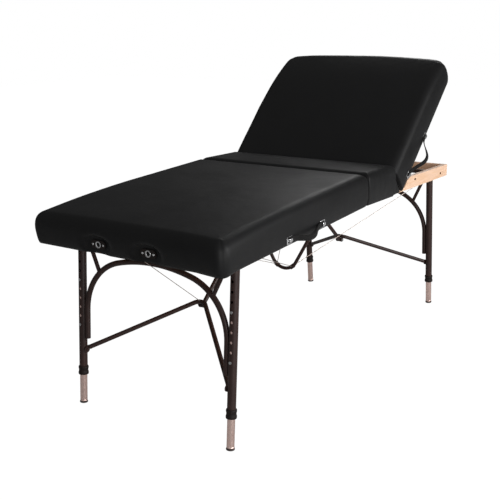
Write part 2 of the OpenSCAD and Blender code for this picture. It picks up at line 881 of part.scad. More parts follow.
module foot_left_inner_leg() {
    color(aluminium) foot_half() inner_leg(1);
}

module foot_right_inner_leg() {
    color(aluminium) foot_half() inner_leg(-1);
}

module head_left_inner_leg() {
    color(aluminium) head_half() inner_leg(1);
}

module head_right_inner_leg() {
    color(aluminium) head_half() inner_leg(-1);
}

module leg_tip(side) {
    on_leg_pivot() translate([0, side * leg_y, -leg_l]) rotate_extrude()
        polygon([[0, 0], [foot_r, 0], [foot_r, foot_h - tip_edge], [foot_r - tip_edge, foot_h],
                 [inner_r, foot_h], [inner_r, sole_t], [0, sole_t]]);
}

module foot_left_tip() {
    color(rubber) foot_half() leg_tip(1);
}

module foot_right_tip() {
    color(rubber) foot_half() leg_tip(-1);
}

module head_left_tip() {
    color(rubber) head_half() leg_tip(1);
}

module head_right_tip() {
    color(rubber) head_half() leg_tip(-1);
}

module snap(side) {
    on_leg_pivot() for (i = [0, snap_steps])
        translate([0, side * leg_y, i * hole_pitch - lowest_hole]) {
            translate([snap_blade / 2, 0, 0]) rotate([0, 90, 0])
                cylinder(r = hole_r - run_gap, h = leg_r + snap_out, $fn = 24);
            translate([0, -snap_w / 2, -snap_w]) cube([snap_blade, snap_w, snap_l]);
            translate([snap_blade / 2, -snap_w / 2 + part_gap, snap_bend_h])
                rotate([0, snap_bend, 0])
                cube([snap_blade, snap_w - 2 * part_gap, snap_back_l]);
        }
}

module foot_left_snap() {
    color(steel) foot_half() snap(1);
}

module foot_right_snap() {
    color(steel) foot_half() snap(-1);
}

module head_left_snap() {
    color(steel) head_half() snap(1);
}

module head_right_snap() {
    color(steel) head_half() snap(-1);
}

// Wishbone: a bent tube from the insides of the legs to the knee
module on_wishbone() {
    translate([seat_s, 0, seat_h]) rotate([0, -wish_angle, 0]) children();
}

module wishbone() {
    on_wishbone() {
        difference() {
            union() {
                bent_v(eye_neck, arm_start_y, wish_l, apex_bend_r, wish_r);
                both_sides() translate([eye_neck, arm_start_y, 0]) sphere(r = wish_r + joint_grow);
                both_sides() upright(eye_y + eye_t / 2, eye_t) union() {
                    circle(r = eye_r);
                    translate([0, -wish_r + cut / 2]) square([eye_neck, 2 * wish_r - cut]);
                }
            }
            both_sides() along_y(eye_y - eye_t / 2 - cut, eye_y + eye_t / 2 + cut,
                                 rivet_r + run_gap);
        }
        both_sides() difference() {
            upright(lug_y + lug_t, lug_t) union() {
                translate([wish_l, knee_offset]) circle(r = lug_r);
                translate([wish_l - lug_r, 0]) square([2 * lug_r - lug_t, knee_offset]);
            }
            translate([wish_l, 0, knee_offset]) along_y(0, 2 * lug_y + lug_t, knee_pin_r + run_gap);
        }
    }
}

module foot_wishbone() {
    color(black_paint) foot_half() wishbone();
}

module head_wishbone() {
    color(black_paint) head_half() wishbone();
}

module knee_pin() {
    on_wishbone() translate([wish_l, 0, knee_offset]) both_sides() {
        along_y(lug_y, lug_y + lug_t + cut, knee_pin_r);
        along_y(lug_y + lug_t, lug_y + lug_t + knee_head_t, knee_head_r);
    }
}

module foot_knee_pin() {
    color(steel) foot_half() knee_pin();
}

module head_knee_pin() {
    color(steel) head_half() knee_pin();
}

// Strut: a straight tube from its bracket under the deck down to the knee
module strut() {
    translate([strut_s, 0, strut_h]) rotate([0, strut_angle, 0]) difference() {
        union() {
            along_y(-strut_eye_y, strut_eye_y, strut_r + joint_grow);
            rotate([0, 90, 0]) cylinder(r = strut_r, h = strut_l);
            translate([strut_l, 0, 0]) along_y(-strut_eye_y, strut_eye_y, strut_r + joint_grow);
        }
        along_y(-strut_r - cut, strut_r + cut, knee_pin_r + run_gap);
    }
}

module foot_strut() {
    color(black_paint) foot_half() strut();
}

module head_strut() {
    color(black_paint) head_half() strut();
}

// Stirrup under the centre hinge, with the clamps of the cables
module on_stirrup() {
    translate([stirrup_s, 0, stirrup_h]) rotate([0, -camber, 0]) children();
}

module stirrup() {
    clamp_angle = asin(clamp_y / stirrup_bend_r);
    color(black_paint) head_half() on_stirrup() difference() {
        union() {
            rotate([0, 90, 0]) bent_v(0, stirrup_y, stirrup_drop, stirrup_bend_r, stirrup_r);
            both_sides() {
                translate([0, stirrup_y, 0])
                    along_y(-stirrup_eye_w / 2, stirrup_eye_w / 2, stirrup_eye_r);
                translate([0, clamp_y, -clamp_drop]) rotate([clamp_angle, 0, 0])
                    along_y(-clamp_r, clamp_r, clamp_r);
            }
        }
        both_sides() translate([0, stirrup_y, 0])
            along_y(-stirrup_eye_w / 2 - cut, stirrup_eye_w / 2 + cut, knee_pin_r + run_gap);
    }
}

module stirrup_brackets() {
    root = seam_cover_t + rail_t;
    color(steel) head_half() both_sides() translate([0, stirrup_y, stirrup_h]) {
        box([root, -stirrup_eye_w, -stirrup_eye_r], [root + plate_t, stirrup_eye_w, 2 * stirrup_eye_r]);
        upright(stirrup_eye_w / 2 + part_gap + lug_t, lug_t) union() {
            translate([stirrup_s, 0]) circle(r = stirrup_eye_r);
            translate([root, -stirrup_eye_r]) square([stirrup_s - root, 2 * stirrup_eye_r]);
        }
        translate([stirrup_s, 0, 0])
            along_y(-stirrup_eye_w / 2, stirrup_eye_w / 2 + lug_t, knee_pin_r);
    }
}

// Steel cables, drawn taut between the stirrup and the studs on the rails
module cable(p, q, trim) {
    rod(p + (q - p) * trim / norm(q - p), q, cable_r);
}

function clamp_at(side) = head_at(stirrup_s, side * clamp_y, stirrup_h) - [0, 0, clamp_drop];

module stud() {
    along_y(-stud_l, 0, stud_r);
}

module foot_cables() {
    color(steel) {
        for (side = [-1, 1])
            cable(clamp_at(side), foot_at(stud_s, side * (rail_y - stud_l / 2), stud_h),
                  cable_trim);
        foot_half() both_sides() translate([stud_s, rail_y, stud_h]) stud();
    }
}

module head_cables() {
    color(steel) {
        for (side = [-1, 1])
            cable(clamp_at(side), head_at(stud_s, side * (rail_y - stud_l / 2), stud_h),
                  cable_trim);
        head_half() both_sides() translate([stud_s, rail_y, stud_h]) stud();
    }
}

module knee_cable() {
    end = foot_end_s - rail_t;
    color(steel) {
        cable(foot_at(apex_s, 0, apex_h), foot_at(end - stud_l / 2, 0, knee_stud_h),
              wish_r + cable_r + part_gap);
        foot_half() translate([end - stud_l, 0, knee_stud_h]) rotate([0, 90, 0])
            cylinder(r = stud_r, h = stud_l);
    }
}

foot_pad();
foot_deck();
foot_rail_left();
foot_rail_right();
foot_end_rail();
foot_centre_rail();
foot_batten();
foot_strut_bracket();
socket_left();
socket_right();
foot_handle();
foot_handle_clips();
foot_hinge_leaves();
foot_hinge_knuckles();
mid_pad();
mid_deck();
head_rail_left();
head_rail_right();
head_end_rail();
head_centre_rail();
head_batten();
head_deck_batten();
head_strut_bracket();
head_hinge_leaves();
head_hinge_knuckles();
seam_gussets();
backrest_ears();
stirrup_brackets();
backrest_pad();
backrest_board();
backrest_arms();
head_handle();
head_handle_clips();
hinge_pins();
foot_leg_frame();
head_leg_frame();
foot_collars();
head_collars();
foot_wishbone();
head_wishbone();
foot_knee_pin();
head_knee_pin();
foot_strut();
head_strut();
stirrup();
foot_left_inner_leg();
foot_right_inner_leg();
head_left_inner_leg();
head_right_inner_leg();
foot_left_tip();
foot_right_tip();
head_left_tip();
head_right_tip();
foot_left_snap();
foot_right_snap();
head_left_snap();
head_right_snap();
foot_cables();
head_cables();
knee_cable();
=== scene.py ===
"""Looks of a folding massage table: padded vinyl tops, maple frame, coated tube legs.

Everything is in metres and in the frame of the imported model. Pieces are drawn in the
flat coordinates of their half of the table (s outwards from the centre hinge, y across,
h up from the underside of the wooden frame) and placed in the room by TableFrame.
"""
import logging
import math
from dataclasses import dataclass, field
from enum import Enum
from typing import Optional, Sequence

import bmesh
import bpy
from bpy.types import ID, Material, Node, NodeSocket, NodeTree, Object
from mathutils import Matrix, Vector, noise


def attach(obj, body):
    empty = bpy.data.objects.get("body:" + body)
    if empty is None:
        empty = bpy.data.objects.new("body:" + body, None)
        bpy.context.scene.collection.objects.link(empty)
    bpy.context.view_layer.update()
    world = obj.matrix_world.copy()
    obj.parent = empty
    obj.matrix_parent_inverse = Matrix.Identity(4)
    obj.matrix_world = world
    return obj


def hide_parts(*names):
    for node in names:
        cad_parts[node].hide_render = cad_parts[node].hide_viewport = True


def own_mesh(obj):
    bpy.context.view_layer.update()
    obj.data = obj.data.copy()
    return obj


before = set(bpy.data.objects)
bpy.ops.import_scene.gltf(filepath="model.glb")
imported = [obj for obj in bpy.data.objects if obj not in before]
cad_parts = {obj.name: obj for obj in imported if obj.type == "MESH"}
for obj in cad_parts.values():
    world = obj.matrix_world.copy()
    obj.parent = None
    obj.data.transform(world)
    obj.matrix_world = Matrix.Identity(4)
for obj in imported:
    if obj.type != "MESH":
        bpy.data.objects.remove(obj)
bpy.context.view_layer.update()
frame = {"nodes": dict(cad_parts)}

logging.basicConfig(level=logging.INFO, format="%(message)s")
LOG = logging.getLogger("massage_table")
MM = 0.001

# Sizes taken over from the solid model, in mm
HALF_L = 902.4  # each half of the table, from its hinge to its outer end
TOP_HALF_W = 381.0
RAIL_OUT_Y = 367.0
LEG_S, LEG_H = 757.0, 20.0  # the pivot of the legs
SOCKET_Y, SOCKET_H = 101.5, 29.0  # the middle of a cradle socket


class Part(Enum):
    """The three padded parts of the table, each with its own flat coordinates."""

    FOOT = "foot_half"
    HEAD = "head_half"
    BACKREST = "backrest"


@dataclass(frozen=True)
class TableFrame:
    """Places flat coordinates in the room, as the solid model does. Lengths in mm."""

    hinge_x: float = 32.4857
    hinge_z: float = 626.9956
    pin_drop: float = 4.4
    camber: float = math.radians(1.7)
    tilt_s: float = 273.7
    tilt_h: float = 98.0
    recline: float = math.radians(43.2)

    def place(self, part: Part, s: float, y: float, h: float) -> Vector:
        """Give the room position of a point in flat coordinates.

        Args:
            part: the padded part that the point belongs to.
            s: distance outwards from the centre hinge, in mm.
            y: distance across the table, in mm.
            h: height above the underside of the wooden frame, in mm.

        Returns:
            The position in the room, in metres.
        """
        if part is Part.BACKREST:
            ds, dh = s - self.tilt_s, h - self.tilt_h
            c, q = math.cos(self.recline), math.sin(self.recline)
            s, h = self.tilt_s + ds * c - dh * q, self.tilt_h + ds * q + dh * c
        c, q = math.cos(self.camber), math.sin(self.camber)
        x = s * c + (h + self.pin_drop) * q
        z = self.hinge_z - s * q + (h + self.pin_drop) * c
        x = self.hinge_x + (-x if part is Part.FOOT else x)
        return Vector((x, y, z)) * MM

    def direction(self, part: Part, s: float, y: float, h: float) -> Vector:
        """Turn a direction in flat coordinates into one in the room."""
        return (self.place(part, s, y, h) - self.place(part, 0, 0, 0)).normalized()


TABLE = TableFrame()


# Colours and shader nodes

def linear(hex_colour: str) -> tuple[float, float, float, float]:
    """Turn an sRGB hex value into the linear colour that shaders take.

    Args:
        hex_colour: a value such as "#1a1a1a".

    Returns:
        Linear red, green and blue, with alpha 1.
    """
    out = []
    for i in (1, 3, 5):
        v = int(hex_colour[i:i + 2], 16) / 255
        out.append(v / 12.92 if v <= 0.04045 else ((v + 0.055) / 1.055) ** 2.4)
    return (out[0], out[1], out[2], 1.0)


def add_node(tree: NodeTree, kind: str, settings: Optional[dict] = None,
             inputs: Optional[dict] = None) -> Node:
    """Add one node with its settings, socket values and links.

    Args:
        tree: the node tree to add to.
        kind: the node's type name.
        settings: attributes of the node.
        inputs: values or output sockets, by the input's name or number.

    Returns:
        The new node.
    """
    node = tree.nodes.new(kind)
    for key, value in (settings or {}).items():
        setattr(node, key, value)
    for key, value in (inputs or {}).items():
        socket = node.inputs[key]
        if isinstance(value, NodeSocket):
            tree.links.new(value, socket)
        else:
            socket.default_value = value
    return node


def noise_node(tree: NodeTree, place: NodeSocket, scale: float, detail: float,
               **more: float) -> Node:
    """Add a noise texture; further inputs are given by their names."""
    return add_node(tree, "ShaderNodeTexNoise", {},
                    {"Vector": place, "Scale": scale, "Detail": detail, **more})


def empty_tree(owner: ID) -> NodeTree:
    """Switch nodes on for a material or a world and clear its tree."""
    owner.use_nodes = True
    owner.node_tree.nodes.clear()
    return owner.node_tree


class Grain(Enum):
    """Which way a pattern runs on the object."""

    ALONG_TABLE = (1.0, 0.0, 0.0)
    ACROSS_TABLE = (0.0, 1.0, 0.0)
    UPRIGHT = (0.0, 0.0, 1.0)

    def stretch(self, tree: NodeTree, place: NodeSocket, share: float) -> NodeSocket:
        """Give coordinates in which a pattern runs long this way; share sets how long."""
        scale = tuple(1.0 if a == 0 else share for a in self.value)
        return add_node(tree, "ShaderNodeMapping", {},
                        {"Vector": place, "Scale": scale}).outputs[0]


@dataclass(frozen=True)
class Finish:
    """A finish: its name, its two main tones and how it shines."""

    name: str
    tone: str
    second: str
    roughness: float = 0.5
    metallic: float = 0.0

    def start(self) -> tuple[Material, NodeTree, Node, NodeSocket]:
        """Make an empty material with its shader.

        Returns:
            The material, its tree, the shader and the Object coordinate output.
        """
        mat = bpy.data.materials.new(self.name)
        tree = empty_tree(mat)
        shader = add_node(tree, "ShaderNodeBsdfPrincipled", {},
                          {"Metallic": self.metallic, "Roughness": self.roughness,
                           "Base Color": linear(self.tone)})
        add_node(tree, "ShaderNodeOutputMaterial", {}, {"Surface": shader.outputs[0]})
        coord = add_node(tree, "ShaderNodeTexCoord")
        return mat, tree, shader, coord.outputs["Object"]

    def tones(self, tree: NodeTree, factor: NodeSocket, low: float = 0.35,
              high: float = 0.65) -> Node:
        """Blend the two tones by a pattern's value between two stops."""
        ramp = add_node(tree, "ShaderNodeValToRGB", {}, {"Fac": factor})
        ramp.color_ramp.elements[0].position = low
        ramp.color_ramp.elements[0].color = linear(self.tone)
        ramp.color_ramp.elements[1].position = high
        ramp.color_ramp.elements[1].color = linear(self.second)
        return ramp

    def tint(self, tree: NodeTree, shader: Node, factor: NodeSocket, low: float = 0.35,
             high: float = 0.65) -> None:
        """Colour the shader with the two tones, blended by a pattern's value."""
        ramp = self.tones(tree, factor, low, high)
        tree.links.new(ramp.outputs[0], shader.inputs["Base Color"])

    def vary_shine(self, tree: NodeTree, shader: Node, factor: NodeSocket, less: float,
                   more: float) -> None:
        """Let the roughness go a little below and above its value with a pattern."""
        rough = add_node(tree, "ShaderNodeMapRange", {},
                         {"Value": factor, "From Min": 0.3, "From Max": 0.7,
                          "To Min": self.roughness - less, "To Max": self.roughness + more})
        tree.links.new(rough.outputs[0], shader.inputs["Roughness"])

    def bump(self, tree: NodeTree, shader: Node, height: NodeSocket, strength: float, depth: float,
             under: Optional[Node] = None) -> Node:
        """Add a bump of the given depth in metres and link it to the shader."""
        ins = {"Height": height, "Strength": strength, "Distance": depth}
        if under is not None:
            ins["Normal"] = under.outputs[0]
        node = add_node(tree, "ShaderNodeBump", {}, ins)
        tree.links.new(node.outputs[0], shader.inputs["Normal"])
        return node

    def build(self) -> Material:
        """Build the material; each kind of finish does this its own way."""
        raise NotImplementedError


@dataclass(frozen=True)
class Vinyl(Finish):
    """Polyurethane upholstery: an embossed pebble grain with a soft, low sheen."""

    pebble: float = 2.2 * MM

    def build(self) -> Material:
        """Build the upholstery. The real pebble is finer; it is drawn to show."""
        mat, tree, shader, obj = self.start()
        cloud = noise_node(tree, obj, 7.0, 4.0, Roughness=0.55)
        self.tint(tree, shader, cloud.outputs["Fac"])
        self.vary_shine(tree, shader, cloud.outputs["Fac"], 0.05, 0.07)
        cells = add_node(tree, "ShaderNodeTexVoronoi", {"feature": "SMOOTH_F1"},
                         {"Vector": obj, "Scale": 1 / self.pebble, "Smoothness": 0.6})
        soft = noise_node(tree, obj, 16.0, 3.0)
        folds = self.bump(tree, shader, soft.outputs["Fac"], 0.35, 2.0 * MM)
        self.bump(tree, shader, cells.outputs["Distance"], 0.35, 0.25 * MM, folds)
        shader.inputs["Sheen Weight"].default_value = 0.02
        shader.inputs["Sheen Roughness"].default_value = 0.5
        shader.inputs["Specular IOR Level"].default_value = 0.24
        return mat


@dataclass(frozen=True)
class Timber(Finish):
    """Lacquered maple or plywood: faint lines of grain and small darker flecks."""

    grain: Grain = Grain.ALONG_TABLE
    line: float = 9 * MM

    def build(self) -> Material:
        """Build the timber with its grain along one axis."""
        mat, tree, shader, obj = self.start()
        place = self.grain.stretch(tree, obj, 0.06)
        figure = noise_node(tree, place, 1 / self.line, 6.0, Roughness=0.6, Distortion=0.6)
        flecks = noise_node(tree, place, 9 / self.line, 2.0)
        ramp = self.tones(tree, figure.outputs["Fac"], 0.38, 0.68)
        dark = add_node(tree, "ShaderNodeMapRange", {},
                        {"Value": flecks.outputs["Fac"], "From Min": 0.62, "From Max": 0.75,
                         "To Min": 0.0, "To Max": 0.35})
        mix = add_node(tree, "ShaderNodeMix", {"data_type": "RGBA"},
                       {"Factor": dark.outputs[0], 6: ramp.outputs[0], 7: linear("#c69d74")})
        tree.links.new(mix.outputs[2], shader.inputs["Base Color"])
        self.bump(tree, shader, flecks.outputs["Fac"], 0.15, 0.2 * MM)
        shader.inputs["Coat Weight"].default_value = 0.25
        shader.inputs["Coat Roughness"].default_value = 0.2
        return mat


@dataclass(frozen=True)
class PowderCoat(Finish):
    """Baked powder on steel tube: a fine orange peel that breaks up the highlights."""

    peel: float = 1.6 * MM

    def build(self) -> Material:
        """Build the coat, drawn a little coarser than the real one."""
        mat, tree, shader, obj = self.start()
        peel = noise_node(tree, obj, 1 / self.peel, 2.0)
        broad = noise_node(tree, obj, 12.0, 3.0)
        self.tint(tree, shader, broad.outputs["Fac"])
        self.bump(tree, shader, peel.outputs["Fac"], 0.3, 0.15 * MM)
        shader.inputs["Specular IOR Level"].default_value = 0.35
        return mat


@dataclass(frozen=True)
class Metal(Finish):
    """Bare metal, brushed or drawn: fine lines along one axis vary its roughness."""

    grain: Grain = Grain.UPRIGHT
    line: float = 0.8 * MM

    def build(self) -> Material:
        """Build the metal with its drawn lines along one axis."""
        mat, tree, shader, obj = self.start()
        place = self.grain.stretch(tree, obj, 0.02)
        lines = noise_node(tree, place, 1 / self.line, 3.0)
        self.tint(tree, shader, lines.outputs["Fac"])
        self.vary_shine(tree, shader, lines.outputs["Fac"], 0.07, 0.1)
        self.bump(tree, shader, lines.outputs["Fac"], 0.12, 0.08 * MM)
        return mat


@dataclass(frozen=True)
class Moulded(Finish):
    """Moulded plastic or rubber: a fine spark-eroded texture and an even tone."""

    grit: float = 1.2 * MM

    def build(self) -> Material:
        """Build the moulded surface."""
        mat, tree, shader, obj = self.start()
        grit = noise_node(tree, obj, 1 / self.grit, 3.0)
        self.tint(tree, shader, grit.outputs["Fac"])
        self.bump(tree, shader, grit.outputs["Fac"], 0.25, 0.12 * MM)
        shader.inputs["Specular IOR Level"].default_value = 0.3
        return mat


@dataclass(frozen=True)
class Woven(Finish):
    """Nylon webbing: two crossing sets of threads, with painted highlight on their crowns and painted
    shade between them.
    """

    thread: float = 1.5 * MM

    def build(self) -> Material:
        """Build the weave; real threads are half as wide, these are drawn to show."""
        mat, tree, shader, obj = self.start()
        turn = 2 * math.pi / self.thread / 20
        waves = []
        for axis in ("X", "Z"):
            waves.append(add_node(tree, "ShaderNodeTexWave",
                                  {"bands_direction": axis, "wave_profile": "SIN"},
                                  {"Vector": obj, "Scale": turn, "Distortion": 0.4}))
        weave = add_node(tree, "ShaderNodeMath", {"operation": "MULTIPLY"},
                         {0: waves[0].outputs["Fac"], 1: waves[1].outputs["Fac"]})
        # Painted shade between the threads and painted highlight on their crowns.
        self.tint(tree, shader, weave.outputs[0], 0.1, 0.9)
        self.bump(tree, shader, weave.outputs[0], 0.5, 0.4 * MM)
        shader.inputs["Sheen Weight"].default_value = 0.05
        shader.inputs["Specular IOR Level"].default_value = 0.25
        return mat


VINYL = Vinyl("vinyl_pebbled", "#0a0a0b", "#0f0f10", 0.5)
MAPLE_LONG = Timber("maple_lengthwise", "#f3cdb1", "#e8bc95", 0.38)
MAPLE_CROSS = Timber("maple_crosswise", "#f1ccb2", "#e5bb97", 0.38, grain=Grain.ACROSS_TABLE)
# Birch plywood tone, darkened beyond the wood's own colour as painted shade of the backrest over the
# deck.
PLYWOOD_PAINTED_SHADE = Timber("birch_plywood_painted_shade", "#cfa97e", "#b98e61", 0.55, grain=Grain.ACROSS_TABLE,
                 line=14 * MM)
COATED_TUBE = PowderCoat("powder_coat_dark_brown", "#291916", "#33201c", 0.45)
ALUMINIUM = Metal("aluminium_anodised_satin", "#f3d0c6", "#fbe2da", 0.28, 1.0)
ZINC = Metal("steel_zinc_plated", "#b4b5b6", "#c9cacb", 0.3, 1.0, grain=Grain.ALONG_TABLE)
# Dark brown for the rails' bolts: painted shade of the recessed holes they sit in.
RAIL_BOLT_HOLE_SHADE = Metal("steel_painted_hole_shade", "#5c4637", "#735a48", 0.36, 1.0)
BRIGHT_STEEL = Metal("steel_polished", "#cfcfd0", "#e0e0e1", 0.16, 1.0)
CABLE_STEEL = Metal("steel_cable_stranded", "#b3a59d", "#cfc4bd", 0.38, 1.0)
BLACK_PLASTIC = Moulded("nylon_moulded_black", "#120906", "#180e0b", 0.62)
RUBBER_TIP = Moulded("rubber_moulded_grey", "#413b3a", "#524b49", 0.7)
WEBBING = Woven("nylon_webbing_black", "#070606", "#0e0c0c", 0.8)
THREAD = Moulded("polyester_thread_dark", "#242323", "#302e2e", 0.6, grit=0.5 * MM)

_built: dict[str, Material] = {}


def material(finish: Finish) -> Material:
    """Give the finish's material, built once."""
    if finish.name not in _built:
        _built[finish.name] = finish.build()
    return _built[finish.name]


# Meshes

def shown(obj: Object) -> Object:
    """Link an object to the scene and give it back."""
    bpy.context.scene.collection.objects.link(obj)
    return obj


def turns(n: int) -> list[float]:
    """Give the angles of n even steps round a circle."""
    return [2 * math.pi * j / n for j in range(n)]


def mesh_object(name: str, verts: Sequence[Vector], faces: Sequence[Sequence[int]],
                finish: Optional[Finish] = None, smooth: bool = True) -> Object:
    """Make an object at the origin from points in metres.

    Args:
        name: the object's name.
        verts: its points.
        faces: its faces, by point numbers.
        finish: what it is made of.
        smooth: whether its faces are shaded smooth.

    Returns:
        The linked object.
    """
    mesh = bpy.data.meshes.new(name)
    mesh.from_pydata([tuple(v) for v in verts], [], [tuple(f) for f in faces])
    mesh.validate()
    if smooth:
        mesh.polygons.foreach_set("use_smooth", [True] * len(mesh.polygons))
    if finish is not None:
        mesh.materials.append(material(finish))
    return shown(bpy.data.objects.new(name, mesh))


def point_out(obj: Object) -> None:
    """Make all faces of a closed mesh point outwards."""
    bm = bmesh.new()
    bm.from_mesh(obj.data)
    bmesh.ops.remove_doubles(bm, verts=bm.verts, dist=1e-6)
    bmesh.ops.recalc_face_normals(bm, faces=bm.faces)
    bm.to_mesh(obj.data)
    bm.free()


def sweep(name: str, rings: Sequence[Sequence[Vector]], finish: Finish) -> Object:
    """Join rings of equally many points into a closed tube with two caps.

    Args:
        name: the object's name.
        rings: the rings, in order along the piece.
        finish: what it is made of.

    Returns:
        The tube as an object.
    """
    n, last = len(rings[0]), len(rings) - 1
    verts = [p for ring in rings for p in ring]
    faces = [(k * n + i, k * n + (i + 1) % n, (k + 1) * n + (i + 1) % n, (k + 1) * n + i)
             for k in range(last) for i in range(n)]
    faces += [tuple(range(n - 1, -1, -1)), tuple(last * n + i for i in range(n))]
    obj = mesh_object(name, verts, faces, finish)
    point_out(obj)
    return obj


def baked(obj: Object, name: str) -> Object:
    """Turn an object with modifiers into a plain mesh object and remove the first.

    Args:
        obj: the object with live modifiers.
        name: the new object's name.

    Returns:
        The plain mesh object, at the origin.
    """
    bpy.context.view_layer.update()
    graph = bpy.context.evaluated_depsgraph_get()
    mesh = bpy.data.meshes.new_from_object(obj.evaluated_get(graph), depsgraph=graph,
                                           preserve_all_data_layers=True)
    out = shown(bpy.data.objects.new(name, mesh))
    bpy.data.objects.remove(obj)
    out.name = name
    return out


# What repeats: one tree of nodes sets the heads of screws and bolts, and the stitches

class Scatter:
    """Sets copies of one small shape on points, each standing along the point's own way."""

    def __init__(self) -> None:
        """Build the tree of nodes once."""
        tree = bpy.data.node_groups.new("set_on_points", "GeometryNodeTree")
        face = tree.interface
        face.new_socket("Geometry", in_out="INPUT", socket_type="NodeSocketGeometry")
        face.new_socket("Shape", in_out="INPUT", socket_type="NodeSocketObject")
        face.new_socket("Size", in_out="INPUT", socket_type="NodeSocketFloat")
        face.new_socket("Finish", in_out="INPUT", socket_type="NodeSocketMaterial")
        face.new_socket("Geometry", in_out="OUTPUT", socket_type="NodeSocketGeometry")
        entry = add_node(tree, "NodeGroupInput")
        shape = add_node(tree, "GeometryNodeObjectInfo", {}, {"Object": entry.outputs["Shape"]})
        way = add_node(tree, "GeometryNodeInputNamedAttribute", {"data_type": "FLOAT_VECTOR"},
                       {"Name": "way"})
        along = add_node(tree, "GeometryNodeInputNamedAttribute", {"data_type": "FLOAT_VECTOR"},
                         {"Name": "along"})
        first = add_node(tree, "FunctionNodeAlignRotationToVector", {"axis": "Z"},
                         {"Vector": way.outputs["Attribute"]})
        turn = add_node(tree, "FunctionNodeAlignRotationToVector",
                        {"axis": "X", "pivot_axis": "Z"},
                        {"Rotation": first.outputs[0], "Vector": along.outputs["Attribute"]})
        placed = add_node(tree, "GeometryNodeInstanceOnPoints", {},
                          {"Points": entry.outputs["Geometry"],
                           "Instance": shape.outputs["Geometry"],
                           "Rotation": turn.outputs[0], "Scale": entry.outputs["Size"]})
        real = add_node(tree, "GeometryNodeRealizeInstances", {}, {"Geometry": placed.outputs[0]})
        dressed = add_node(tree, "GeometryNodeSetMaterial", {},
                           {"Geometry": real.outputs[0], "Material": entry.outputs["Finish"]})
        add_node(tree, "NodeGroupOutput", {}, {"Geometry": dressed.outputs[0]})
        self.tree = tree
        self.sockets = {s.name: s.identifier for s in face.items_tree
                        if s.item_type == "SOCKET" and s.in_out == "INPUT"}

    def build(self, name: str, spots: Sequence[tuple[Vector, Vector, Vector]],
              shape: Object, finish: Finish, body: str,
              size: float = 1.0) -> Object:
        """Set the shape on each spot and give one plain mesh that rides on a body.

        Args:
            name: the new piece's name.
            spots: for each copy its place, the way its Z points and the way its X points.
            shape: the shape that is copied.
            finish: what the copies are made of.
            body: the body that the piece rides on.
            size: a factor on the shape's size.

        Returns:
            The new piece.
        """
        mesh = bpy.data.meshes.new(name + "_points")
        mesh.from_pydata([tuple(s[0]) for s in spots], [], [])
        for label, k in (("way", 1), ("along", 2)):
            attr = mesh.attributes.new(label, "FLOAT_VECTOR", "POINT")
            attr.data.foreach_set("vector", [c for s in spots for c in s[k]])
        holder = shown(bpy.data.objects.new(name + "_points", mesh))
        mod = holder.modifiers.new("set_on_points", "NODES")
        mod.node_group = self.tree
        mod[self.sockets["Shape"]] = shape
        mod[self.sockets["Size"]] = size
        mod[self.sockets["Finish"]] = material(finish)
        piece = baked(holder, name)
        piece.data.polygons.foreach_set("use_smooth", [True] * len(piece.data.polygons))
        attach(piece, body)
        LOG.info("%s: %d copies on %s", name, len(spots), body)
        return piece


@dataclass(frozen=True)
class SmallShape:
    """A small turned shape that is set in numbers: radius and place on its axis, in mm."""

    name: str
    sides: int
    profile: tuple[tuple[float, float], ...]
    lying: bool = False

    def build(self) -> Object:
        """Build the shape, standing on its origin along Z or lying along X.

        Returns:
            An object that isn't linked to the scene.
        """
        bm = bmesh.new()
        rings = []
        for r, z in self.profile:
            circle = [(r * MM * math.cos(t), r * MM * math.sin(t)) for t in turns(self.sides)]
            rings.append([bm.verts.new((z * MM, a, b) if self.lying else (a, b, z * MM))
                          for a, b in circle])
        for low, top in zip(rings, rings[1:]):
            for j in range(self.sides):
                k = (j + 1) % self.sides
                bm.faces.new((low[j], low[k], top[k], top[j]))
        bm.faces.new(rings[-1])
        bm.faces.new(list(reversed(rings[0])))
        bmesh.ops.recalc_face_normals(bm, faces=bm.faces)
        mesh = bpy.data.meshes.new(self.name)
        bm.to_mesh(mesh)
        bm.free()
        return bpy.data.objects.new(self.name, mesh)


PAN_HEAD = SmallShape("pan_head", 20, ((3.6, 0.0), (3.6, 0.7), (3.0, 1.6), (1.9, 2.1),
                                       (1.1, 2.2), (0.9, 1.2)))
HEX_HEAD = SmallShape("hex_head", 6, ((5.5, 0.0), (5.5, 2.9), (4.6, 3.5)))
STITCH = SmallShape("stitch", 6, ((0.10, -1.9), (0.42, -1.5), (0.55, 0.0), (0.42, 1.5),
                                  (0.10, 1.9)), lying=True)


# Upholstery

def outline(s0: float, s1: float, w: float, r0: float, r1: float, inset: float,
            arc: int = 12, long_n: int = 56, short_n: int = 72) -> list[tuple[float, float]]:
    """Give the plan of a padded block as points of s and y, in mm.

    Args:
        s0: its edge at the hinge side.
        s1: its outer edge.
        w: half its width.
        r0: corner radius at s0.
        r1: corner radius at s1.
        inset: how far the plan is drawn in.
        arc: steps in each corner.
        long_n: steps along each long side.
        short_n: steps along each short side.

    Returns:
        The closed outline, counter-clockwise.
    """
    a, b, y = s0 + inset, s1 - inset, w - inset
    ra, rb = max(r0 - inset, 1.0), max(r1 - inset, 1.0)
    corners = [((b - rb, y - rb), rb, 0), ((a + ra, y - ra), ra, 90),
               ((a + ra, ra - y), ra, 180), ((b - rb, rb - y), rb, 270)]
    arcs = [[(c[0] + r * math.cos(math.radians(f + 90 * i / arc)),
              c[1] + r * math.sin(math.radians(f + 90 * i / arc))) for i in range(arc + 1)]
            for c, r, f in corners]
    out: list[tuple[float, float]] = []
    for k, n in enumerate((long_n, short_n, long_n, short_n)):
        out += arcs[k]
        p, q = arcs[k][-1], arcs[(k + 1) % 4][0]
        out += [(p[0] + (q[0] - p[0]) * i / n, p[1] + (q[1] - p[1]) * i / n) for i in range(1, n)]
    return out


